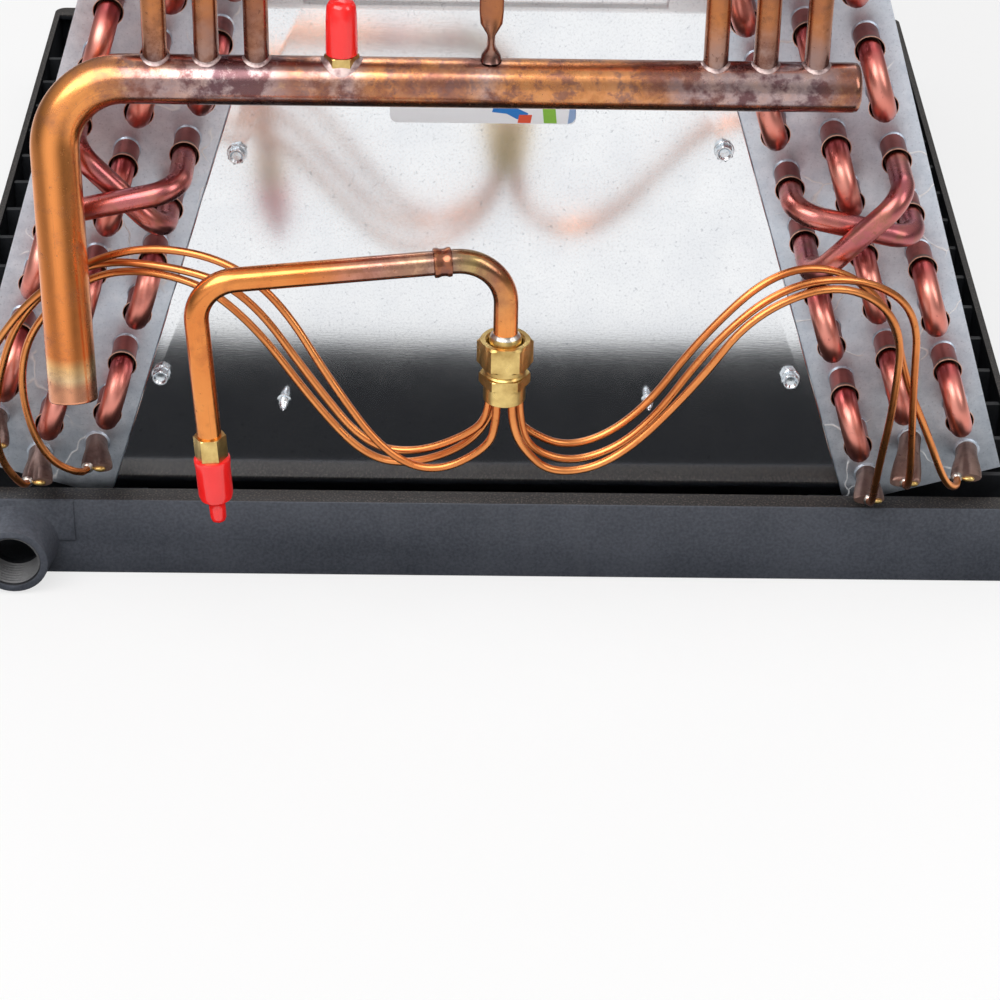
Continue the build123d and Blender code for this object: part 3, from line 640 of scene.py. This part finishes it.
# ------------------------------------------------------------------ suction header
# Three-quarter inch copper, closed at the right and turned down at the left, browned by the brazing.
def joint_metal(name, dark, bright, grain, rough, spread, strength):
    """Filler metal of a brazed or soldered joint."""
    made, shade = finish_of(name, {"Metallic": 1.0})
    lump = shade.noise(grain, 4.0)
    shade.coat(lump.clamped(0.35, 0.6).mixed(dark, bright), rough + spread * lump,
               shade.bump(lump, strength, 0.0004))
    return made


def header_heat(shade, blotch):
    """Mauve and grey scale round each brazed branch, most of it on the level run."""
    x = shade.axis(0) + 0.016 * (shade.noise(55.0, 4.0) - 0.5)
    spread = x.ramp(-0.17, 0.17, [(-0.148, 0.0), (-0.125, 0.65), (-0.106, 1.0), (-0.082, 0.85), (-0.071, 0.15),
                                  (-0.061, 0.6), (-0.052, 0.8), (-0.041, 0.12), (-0.008, 0.15), (0.001, 0.75),
                                  (0.011, 0.12), (0.060, 0.2), (0.083, 0.85), (0.124, 1.0), (0.135, 0.25),
                                  (0.15, 0.1)])
    share = spread * shade.axis(2).clamped(0.238, 0.250) * (0.62 + 0.38 * blotch.clamped(0.35, 0.55))
    return share, blotch.clamped(0.44, 0.56).mixed((0.52, 0.42, 0.43), (0.16, 0.085, 0.095))


def header_tones(shade):
    """Browned level run, clean orange down the stub with a pale band near its mouth."""
    drift = shade.noise(26.0, 5.0, 0.65)
    mottle = shade.noise(150.0, 6.0, 0.72)
    level_run = drift.clamped(0.44, 0.56).mixed((0.34, 0.13, 0.075), (0.76, 0.31, 0.10))
    level_run = (mottle.clamped(0.50, 0.60) * 0.75).mixed(level_run, (0.22, 0.10, 0.085))
    level_run = (0.32 - 0.32 * mottle.clamped(0.30, 0.44)).mixed(level_run, (0.88, 0.52, 0.20))
    clean = shade.axis(2).ramp(0.13, 0.25, [(0.133, (0.80, 0.34, 0.20)), (0.143, (0.78, 0.36, 0.20)),
                                             (0.146, (0.97, 0.66, 0.36)), (0.150, (0.95, 0.56, 0.24)),
                                             (0.154, (0.84, 0.27, 0.075)), (0.25, (0.90, 0.34, 0.10))])
    turned_down = 1.0 - (shade.axis(0) + 0.03 * (drift - 0.5)).clamped(-0.158, -0.138)
    return turned_down.mixed(level_run, clean)


def foot_heat(shade, blotch):
    """Grey scale on the lowest part of a branch, fading upwards."""
    share = 1.0 - (shade.axis(2) + 0.03 * (shade.noise(60.0, 3.0) - 0.5)).clamped(0.262, 0.286)
    return 0.9 * share, blotch.clamped(0.42, 0.58).mixed((0.32, 0.24, 0.23), (0.15, 0.085, 0.08))


def joint_heat(shade, blotch):
    """Brown and violet scale beside the sleeve of the liquid line."""
    x = shade.axis(0) + 0.012 * (shade.noise(70.0, 4.0) - 0.5)
    share = x.ramp(-0.07, 0.012, [(-0.066, 0.0), (-0.046, 0.7), (-0.020, 1.0), (-0.004, 0.95), (0.007, 0.6),
                                  (0.012, 0.35)]) * shade.axis(2).clamped(0.172, 0.182)
    scale = x.ramp(-0.07, 0.012, [(-0.066, (0.50, 0.22, 0.20)), (-0.040, (0.44, 0.24, 0.24)),
                                  (-0.026, (0.66, 0.40, 0.26)), (-0.014, (0.30, 0.18, 0.17)),
                                  (-0.004, (0.52, 0.38, 0.16)), (0.004, (0.30, 0.18, 0.13)),
                                  (0.012, (0.62, 0.32, 0.12))])
    return share, (blotch.clamped(0.44, 0.56) * 0.55).mixed(scale, (0.16, 0.08, 0.07))


header_copper = copper_finish("header_copper", header_tones, (0.24, 0.11, 0.09), rough=0.19, stain=0.6,
                              heat=header_heat)
branch_copper = copper_finish("branch_copper", ((0.66, 0.24, 0.07), (0.34, 0.13, 0.07)), (0.17, 0.085, 0.06),
                              rough=0.20, stain=0.85, heat=foot_heat)
warm_copper = copper_finish("warm_copper", ((0.90, 0.35, 0.10), (0.76, 0.23, 0.06)), (0.40, 0.12, 0.05),
                            rough=0.17, stain=0.5, heat=joint_heat)
braze = joint_metal("silver_braze", (0.22, 0.14, 0.14), (0.50, 0.39, 0.37), 300.0, 0.3, 0.3, 0.3)

header_radius, header_y, header_z = 9.525 * MM, -52.0 * MM, 253.7 * MM
header_end = Vector((-159.728, -90.888, 134.015)) * MM
header_corner = Vector((-166.0, -52.0, 253.7)) * MM
header_right = Vector((142.8 * MM, header_y, header_z))
line = bent_line([header_right, header_corner, header_end], [27.0 * MM], radians(4))
body = [line[0] + Vector((x, 0, 0)) for x in (0, -0.5 * MM, -1.4 * MM, -3 * MM)] + line[1:]
radii = [header_radius * 0.70, header_radius * 0.86, header_radius * 0.965, header_radius]
radii += [header_radius] * (len(body) - 4)
rings = rings_along(body, radii)
drop = (header_end - header_corner).normalized()
centre, across, up = rings[-1]
rings[-1] = (centre - drop * 1.1 * MM, across, up)
for along, size in ((-0.5 * MM, 0.995), (-0.1 * MM, 0.965), (0.0, 0.93), (-0.3 * MM, 0.895), (-1.2 * MM, 0.88),
                    (-60 * MM, 0.88)):
    rings.append((centre + drop * along, across * size, up * size))
own_mesh("suction_pipe", skin(rings, 40), header_copper, "header_copper", "suction_header",
         smooth=40)

# ------------------------------------------------------------------ outlet tubes
# One from the top tube of each row, led down in front of the bends and brazed into the header.
columns = (87.0 * MM, 106.0 * MM, 125.4 * MM)
outlet_reach, knee_z = 42.0 * MM, 305.0 * MM
ring_places = []
for side_name, side in SIDES.items():
    for row, row_name in enumerate(ROWS):
        start = tube_place(side, row, 19)
        column = side * columns[row]
        foot = header_z + sqrt(header_radius ** 2 - tube_radius ** 2)
        corners = [start, Vector((start.x, -outlet_reach, start.z)), Vector((column, header_y, knee_z)),
                   Vector((column, header_y, foot - 1.5 * MM))]
        line = bent_line(corners, [16 * MM, 60 * MM])
        tube_mesh(f"outlet_pipe_{side_name}_{row_name}", line, tube_radius, 24, branch_copper,
                  f"outlet_{side_name}_{row_name}")
        ring_places.append(Vector((column, header_y, header_z)))


def saddle(place, inner, outer, height):
    """Fillet of braze round a branch on top of the header, following its curve."""
    steps = 36
    profile = [(inner, height), (inner + (outer - inner) * 0.25, height * 0.45),
               (inner + (outer - inner) * 0.6, height * 0.15), (outer, 0.0)]
    work = bmesh.new()
    loops = []
    for radius, lift in profile:
        loop = []
        for k in range(steps):
            a = 2 * pi * k / steps
            x, y = radius * cos(a), radius * sin(a)
            rest = sqrt(max(header_radius ** 2 - y * y, 0.0))
            loop.append(work.verts.new(place + Vector((x, y, rest + lift + 0.05 * MM))))
        loops.append(loop)
    bridged(work, loops)
    return meshed(work)


for k, place in enumerate(ring_places):
    own_mesh(f"braze_ring_{k}", saddle(place, tube_radius, tube_radius + 0.9 * MM, 0.9 * MM), braze,
             "header_copper", smooth=60)

# ------------------------------------------------------------------ header strut
# A flattened copper tube, twisted near its brazed foot and screwed flat to the end plate.
foot = Vector((1.7 * MM, header_y, header_z + header_radius))
twist = [(0.0, 4.2, 4.2), (2.5, 3.6, 2.6), (5.5, 1.9, 3.4), (8.0, 1.5, 3.8), (11.0, 1.6, 4.4),
         (15.0, 4.2, 1.7), (20.0, 4.6, 1.7), (24.0, 4.6, 1.7)]
rings = [(foot + Vector((0, 0, z * MM)), Vector((a * MM, 0, 0)), Vector((0, b * MM, 0)))
         for z, a, b in twist]
line = bent_line([foot + Vector((0, 0, 24 * MM)), (1.7 * MM, header_y, 330 * MM),
                  (1.7 * MM, -1.7 * MM, 330 * MM), (1.7 * MM, -1.7 * MM, 350 * MM)], [9 * MM, 9 * MM])
for before, here, after in zip([line[0], *line[:-1]], line, [*line[1:], line[-1]]):
    way = (after - before).normalized()
    rings.append((here, Vector((4.6 * MM, 0, 0)), way.cross(Vector((1, 0, 0))) * 1.7 * MM))
own_mesh("strut", skin(rings, 24), branch_copper, "copper_tube", "header_strut", smooth=50)

# ------------------------------------------------------------------ access valve
# Brass hexagon brazed on the header, under a soft red cap.
brass, shade = finish_of("brass", {"Metallic": 1.0})
tarnish = shade.noise(90.0, 5.0, 0.62)
fine = shade.noise(700.0, 2.0)
shade.coat(tarnish.clamped(0.35, 0.7).mixed((0.85, 0.62, 0.24), (0.42, 0.26, 0.08)),
           0.2 + 0.2 * tarnish, shade.bump(fine, 0.06, 0.0002))
red_cap, shade = finish_of("red_cap", {"Specular IOR Level": 0.75})
fade = shade.noise(160.0, 3.0)
shade.coat(fade.mixed((0.88, 0.010, 0.010), (0.96, 0.020, 0.018)), 0.12 + 0.10 * fade,
           shade.bump(fade, 0.10, 0.0003))


def hexagon(origin, direction, flats, height, chamfer=0.6 * MM, corner_along=(1, 0, 0), bore=0.0):
    """Hexagonal bar with corners turned off at both ends, bored if bore is given."""
    direction = Vector(direction).normalized()
    along = (Vector(corner_along) - direction * Vector(corner_along).dot(direction)).normalized()
    other = direction.cross(along)
    corner = flats / 2 / cos(pi / 6)
    steps = 48
    work = bmesh.new()

    def loop_at(level, reach):
        """Loop round the bar: reach, but never outside the flats."""
        return [work.verts.new(Vector(origin) + direction * level + (along * cos(a) + other * sin(a))
                               * min(flats / 2 / cos((a % (pi / 3)) - pi / 6), reach))
                for a in [2 * pi * k / steps for k in range(steps)]]

    loops = [loop_at(level, reach)
             for level, reach in ((0.0, corner - chamfer), (chamfer * 0.58, corner),
                                  (height - chamfer * 0.58, corner), (height, corner - chamfer))]
    if bore:
        loops += [loop_at(level, reach)
                  for level, reach in ((height, bore + 0.8 * MM), (height - 0.8 * MM, bore), (0.0, bore))]
        loops.append(loops[0])
    bridged(work, loops, closed=not bore)
    return meshed(work)


port = Vector((-54.8 * MM, header_y, header_z))
own_mesh("valve_stem", hexagon(port + Vector((0, 0, 7 * MM)), (0, 0, 1), 11.6 * MM, 4.5 * MM), brass,
         "brass", "access_valve", smooth=25)
own_mesh("valve_braze", saddle(port, 5.2 * MM, 8.0 * MM, 1.2 * MM), braze, "header_copper", smooth=60)
cap_profile = [(0, 5.6), (0.4, 6.1), (1.2, 6.2), (14, 6.0), (19.5, 5.6), (21.2, 4.6), (22.0, 2.6), (22.0, 0.0)]
own_mesh("valve_cap", turned(port + Vector((0, 0, 11.5 * MM)), (0, 0, 1), cap_profile), red_cap,
         "cap_plastic", "access_valve_cap", smooth=40)

# ------------------------------------------------------------------ distributor
# Turned brass body that splits the liquid six ways, with its nut and the tailpiece of the liquid tube.
axis_at = Vector((8.6, -92.0, 0.0)) * MM
body_profile = [(137.8, 0.0), (137.8, 7.6), (138.4, 8.3), (145.2, 8.3), (145.2, 0.0)]
own_mesh("distributor_lower", turned(axis_at, (0, 0, 1), body_profile), brass, "brass",
         "distributor_body", smooth=30)
own_mesh("distributor_flange", hexagon(axis_at + Vector((0, 0, 145.2 * MM)), (0, 0, 1), 17.4 * MM,
                                       4.5 * MM), brass, "brass", smooth=25)
neck_profile = [(149.7, 0.0), (149.7, 8.3), (150.4, 7.6), (151.2, 8.3), (153.4, 8.3), (153.7, 8.0),
                (153.7, 0.0)]
own_mesh("distributor_neck", turned(axis_at, (0, 0, 1), neck_profile), brass, "brass", smooth=30)
own_mesh("distributor_ring_nut", hexagon(axis_at + Vector((0, 0, 153.7 * MM)), (0, 0, 1), 19.05 * MM,
                                         10.8 * MM, 1.3 * MM, bore=7.0 * MM), brass, "brass", "distributor_nut",
         smooth=25)
sleeve_profile = [(153.7, 6.4), (165.2, 6.4), (166.1, 5.9), (166.1, 4.9)]
own_mesh("tail_sleeve", turned(axis_at, (0, 0, 1), sleeve_profile), brass, "brass",
         "distributor_tailpiece", smooth=30)

solder = joint_metal("silver_solder", (0.40, 0.37, 0.34), (0.78, 0.74, 0.68), 420.0, 0.22, 0.2, 0.4)
bead_profile = [(165.9, 5.9), (166.3, 5.8), (166.7, 5.4), (167.1, 5.05), (167.6, 4.8)]
own_mesh("tail_solder", turned(axis_at, (0, 0, 1), bead_profile), solder, "brass", smooth=60)

# ------------------------------------------------------------------ liquid line
# Three-eighths copper from the distributor, over and down to a capped fitting, stained by the
# brazing on both sides of its sleeve.
elbow_corner = axis_at + Vector((0, 0, 200.4 * MM))
line_corner = Vector((-110.0, -104.0, 194.0)) * MM
line_end = Vector((-105.8, -106.0, 128.1)) * MM
run = (line_corner - elbow_corner).normalized()
fall = (line_end - line_corner).normalized()
joint = elbow_corner + run * 24.6 * MM
line = bent_line([axis_at + Vector((0, 0, 155 * MM)), elbow_corner, joint], [19 * MM])
tube_mesh("liquid_elbow_tube", line, tube_radius, 32, warm_copper, "liquid_elbow")
line = bent_line([joint, line_corner, line_end + fall * 1 * MM], [16 * MM])
tube_mesh("liquid_line_tube", line, tube_radius, 32, warm_copper, "liquid_line")
sleeve = [(0, 4.9), (0.3, 5.6), (1.4, 5.75), (2.6, 5.3), (4.2, 5.3), (5.6, 5.75), (6.8, 5.7), (7.2, 4.9)]
own_mesh("liquid_sleeve", turned(elbow_corner + run * 21 * MM, run, sleeve), header_copper,
         "copper_tube", "liquid_coupling", smooth=40)
own_mesh("liquid_hex", hexagon(line_end, fall, 11.2 * MM, 9.9 * MM), brass, "brass",
         "liquid_valve_fitting", smooth=25)
cap_start = line_end + fall * 9.9 * MM
cap_profile = [(0, 6.4), (0.5, 7.1), (2.0, 7.2), (4.0, 6.9), (16.0, 6.9), (18.2, 6.3), (19.2, 4.4),
               (20.5, 3.45), (22.5, 3.3), (27.0, 3.2), (28.6, 2.7), (29.4, 1.5), (29.6, 0.0)]
own_mesh("liquid_cap", turned(cap_start, fall, cap_profile), red_cap, "cap_plastic", "liquid_valve_cap",
         smooth=40)

# ------------------------------------------------------------------ feed adapters and feeder tubes
# Each circuit starts in a tube end pressed flat round a small feeder, bent by hand from the distributor.
adapter_copper = copper_finish("adapter_copper", ((0.36, 0.24, 0.20), (0.20, 0.12, 0.10)), (0.08, 0.045, 0.035),
                               rough=0.40, stain=0.7, scale=2.0)
feeder_copper = copper_finish("feeder_copper", ((0.88, 0.34, 0.11), (0.70, 0.22, 0.065)), (0.42, 0.12, 0.035),
                              rough=0.24, stain=0.3)
# for each side and row: x and z of the adapter's mouth, and how far to one side its feeder enters
TIPS = {("right", 0): ((166.9, 46.5), 0.0), ("right", 1): ((181.5, 55.4), 0.0),
        ("right", 2): ((207.3, 58.2), -4.0), ("left", 0): ((-162.2, 58.6), -4.0),
        ("left", 1): ((-188.1, 51.2), -4.0), ("left", 2): ((-205.2, 69.6), 0.0)}
# for each side and row: the hole's angle round the distributor, and the feeder's corners
ROUTES = {
    ("left", 2): (240, [(3, -97, 118), (-18, -96, 105), (-38, -93, 112), (-58, -87, 139), (-80, -80, 176),
                        (-105, -73, 190), (-140, -62, 187), (-174, -55, 165), (-196, -50, 136), (-209, -44, 104),
                        (-208, -34, 78)]),
    ("left", 1): (180, [(-3, -92, 122), (-25, -89, 110), (-46, -85, 111), (-66, -80, 136), (-92, -74, 174),
                        (-120, -65, 180), (-157, -53, 176), (-186, -45, 147), (-198, -40, 112),
                        (-203, -34, 74)]),
    ("left", 0): (120, [(-4, -86, 113), (-26, -83, 101), (-46, -80, 102), (-66, -76, 124), (-90, -71, 158),
                        (-114, -63, 174), (-152, -50, 171), (-182, -41, 140), (-190, -38, 108),
                        (-183, -35, 72)]),
    ("right", 2): (60, [(16, -86, 120), (36, -82, 108), (62, -77, 120), (86, -72, 155), (114, -66, 182),
                        (142, -58, 179), (165, -48, 153), (173, -43, 120), (186, -41, 90), (196, -37, 64)]),
    ("right", 1): (0, [(18, -91, 114), (38, -88, 105), (64, -84, 117), (90, -78, 156), (118, -72, 179),
                       (150, -62, 177), (174, -54, 158), (176, -49, 118), (180, -40, 76)]),
    ("right", 0): (300, [(15, -97, 119), (28, -95, 104), (54, -92, 109), (84, -86, 141), (105, -81, 171),
                         (140, -72, 181), (167, -62, 158), (168, -54, 114), (166, -42, 74)]),
}


def eased(corners):
    """Smooth line that touches each run between corners at its middle."""
    step = 10
    points = [Vector(c) * MM for c in corners]
    line = [points[0]]
    knots = [points[0], *[(a + b) / 2 for a, b in zip(points[1:], points[2:-1])], points[-1]]
    for start, corner, end in zip(knots, points[1:-1], knots[1:]):
        line += [start.lerp(corner, k / step).lerp(corner.lerp(end, k / step), k / step)
                 for k in range(1, step + 1)]
    return line


body_foot, hole_circle, mouth_y = 137.8, 6.0, -22.0
for (side_name, row), ((tip_x, tip_z), beside) in TIPS.items():
    side = SIDES[side_name]
    root = tube_place(side, row, 0)
    tip = Vector((tip_x, mouth_y, tip_z)) * MM
    crease = (beside + 2.5) * MM
    rings = []
    for f, wide, thick, pinch in ((0, 4.76, 4.76, 0), (0.22, 4.76, 4.76, 0), (0.40, 5.2, 4.4, 0.05),
                                  (0.58, 6.0, 3.5, 0.22), (0.76, 6.5, 2.8, 0.45), (0.95, 6.7, 2.5, 0.55),
                                  (1.0, 6.4, 2.1, 0.55)):
        ring = []
        for k in range(36):
            a = 2 * pi * k / 36
            x = wide * MM * cos(a)
            z = thick * MM * sin(a) * (1 - pinch * 2.718 ** -(((x - crease) / (1.5 * MM)) ** 2))
            ring.append(root.lerp(tip, f) + Vector((x, 0, z)))
        rings.append(ring)
    work = bmesh.new()
    loops = [[work.verts.new(p) for p in ring] for ring in rings]
    bridged(work, loops, closed=True)
    own_mesh(f"adapter_{side_name}_{ROWS[row]}", meshed(work), adapter_copper, "copper_tube",
             *([f"feed_adapters_{side_name}"] if row == 0 else []), smooth=60)
    nozzle = tip + Vector((beside * MM, 0, 0))
    own_mesh(f"nozzle_braze_{side_name}_{ROWS[row]}",
             turned(nozzle, (0, -1, 0), [(-0.4, 2.6), (0.3, 2.4), (0.8, 1.9), (1.1, 1.62)], 20),
             solder, "copper_tube", smooth=60)
    blob = tip + Vector(((beside / 2 + 3.2) * MM, 0.2 * MM, -0.4 * MM))
    own_mesh(f"mouth_braze_{side_name}_{ROWS[row]}",
             skin([(blob + Vector((d * MM, 0, 0)), Vector((0, r * MM, 0)), Vector((0, 0, 0.9 * r * MM)))
                           for d, r in ((-2.9, 0.1), (-2.5, 0.9), (-1.2, 1.35), (0.6, 1.5), (2.0, 1.1),
                                        (2.6, 0.1))],
                  16), brass, "brass", smooth=60)
    degrees_round, corners = ROUTES[side_name, row]
    angle = radians(degrees_round)
    hole = axis_at / MM + Vector((hole_circle * cos(angle), hole_circle * sin(angle), body_foot))
    ends = [Vector((tip_x + beside, y, tip_z)) for y in (mouth_y - 7.0, mouth_y + 1.0)]
    line = eased([hole, hole - Vector((0, 0, 7)), *corners, *ends])
    tube_mesh(f"feeder_tube_{side_name}_{ROWS[row]}", line, 1.6 * MM, 12, feeder_copper,
              f"feeder_{side_name}_{ROWS[row]}")

# ------------------------------------------------------------------ screws and label on the end plate
# Zinc-plated hex washer screws, the points of two more from behind, and a blank paper label with
# patches of colour.
zinc, shade = finish_of("zinc_plate", {"Metallic": 1.0})
cloud = shade.noise(500.0, 3.0)
shade.coat(cloud.mixed((0.58, 0.64, 0.70), (0.86, 0.90, 0.93)), 0.16 + 0.2 * cloud,
           shade.bump(cloud, 0.1, 0.0002))
face_y = 0.0
for k, (x, z, turn) in enumerate(((-100.0, 196.8, 12), (97.4, 200.8, 40), (-135.5, 92.2, 25),
                                  (131.7, 93.7, 5))):
    at = Vector((x, face_y, z)) * MM
    washer = [(0.0, 4.1), (0.35, 4.15), (0.8, 3.9), (0.9, 3.2), (0.9, 0.0)]
    own_mesh(f"screw_washer_{k}", turned(at, (0, -1, 0), washer, 28), zinc, "galvanised_sheet",
             smooth=40)
    corner_along = (cos(radians(turn)), 0, sin(radians(turn)))
    own_mesh(f"screw_head_{k}", hexagon(at + Vector((0, -0.8 * MM, 0)), (0, -1, 0), 6.35 * MM, 3.0 * MM,
                                        0.5 * MM, corner_along, bore=1.9 * MM),
             zinc, "galvanised_sheet", smooth=25)
    own_mesh(f"screw_dimple_{k}", turned(at + Vector((0, -2.6 * MM, 0)), (0, -1, 0),
                                         [(0.0, 0.0), (0.0, 1.9), (0.3, 1.9), (0.1, 0.0)], 20), zinc,
             "galvanised_sheet", smooth=25)
for k, (x, z) in enumerate(((-83.6, 80.0), (71.7, 82.0))):
    at = Vector((x, face_y, z)) * MM
    profile = [(0.0, 3.0), (0.25, 2.6), (0.3, 1.5)]
    for turn in range(5):
        base = 0.5 + 1.3 * turn
        taper = 1.0 - 0.12 * max(0, turn - 2)
        profile += [(base, 1.45 * taper), (base + 0.45, 2.05 * taper), (base + 0.9, 1.45 * taper)]
    profile += [(7.6, 0.9), (8.6, 0.15), (8.7, 0.0)]
    own_mesh(f"screw_point_{k}", turned(at, (0, -1, 0), profile, 20), zinc, "galvanised_sheet",
             smooth=30)


def printed(name, tone):
    made, shade = finish_of(name, {"Specular IOR Level": 0.4})
    paper = shade.noise(900.0, 2.0)
    shade.coat((paper * 0.12).mixed(tone, tuple(0.8 * c for c in tone)), 0.32 + 0.12 * paper,
               shade.bump(paper, 0.05, 0.0001))
    return made


def patch(name, outline, lift, finish):
    """A flat piece of printed film standing a hair off the plate."""
    work = bmesh.new()
    near = [work.verts.new(Vector((x, face_y - lift, z)) * MM) for x, z in outline]
    far = [work.verts.new(Vector((x, face_y, z)) * MM) for x, z in outline]
    work.faces.new(near)
    for k in range(len(near)):
        work.faces.new((near[k], near[k - 1], far[k - 1], far[k]))
    own_mesh(name, meshed(work), finish, "galvanised_sheet", smooth=30)


low_x, high_x, low_z, high_z, corner_r = -38.0, 37.0, 211.5, 236.0, 3.0
rounded = [(cx + corner_r * cos(radians(a)), cz + corner_r * sin(radians(a)))
           for cx, cz, start in ((high_x - corner_r, high_z - corner_r, 0),
                                 (low_x + corner_r, high_z - corner_r, 90),
                                 (low_x + corner_r, low_z + corner_r, 180),
                                 (high_x - corner_r, low_z + corner_r, 270))
           for a in range(start, start + 91, 15)]
patch("label", rounded, 0.15, printed("label_white", (0.90, 0.93, 0.97)))
for hue, lift, tone, outline in (
        ("blue", 0.22, (0.01, 0.20, 0.62), [(3, 216.6), (9, 215.9), (13, 213.6), (17.2, 213.4), (17.6, 216.2),
                                            (13, 218.4), (4, 219.6)]),
        ("orange", 0.25, (0.80, 0.09, 0.03), [(13.4, 211.9), (18.6, 211.9), (19.2, 215.5), (14.0, 215.5)]),
        ("green", 0.22, (0.25, 0.55, 0.05), [(24.0, 211.9), (29.2, 211.9), (27.8, 226.0), (22.6, 226.0)]),
        ("pale", 0.22, (0.28, 0.42, 0.68), [(33.6, 211.7), (35.5, 212.4), (36.7, 214.2), (36.8, 222.0),
                                            (34.6, 222.0)])):
    patch(f"label_{hue}", outline, lift, printed(f"print_{hue}", tone))
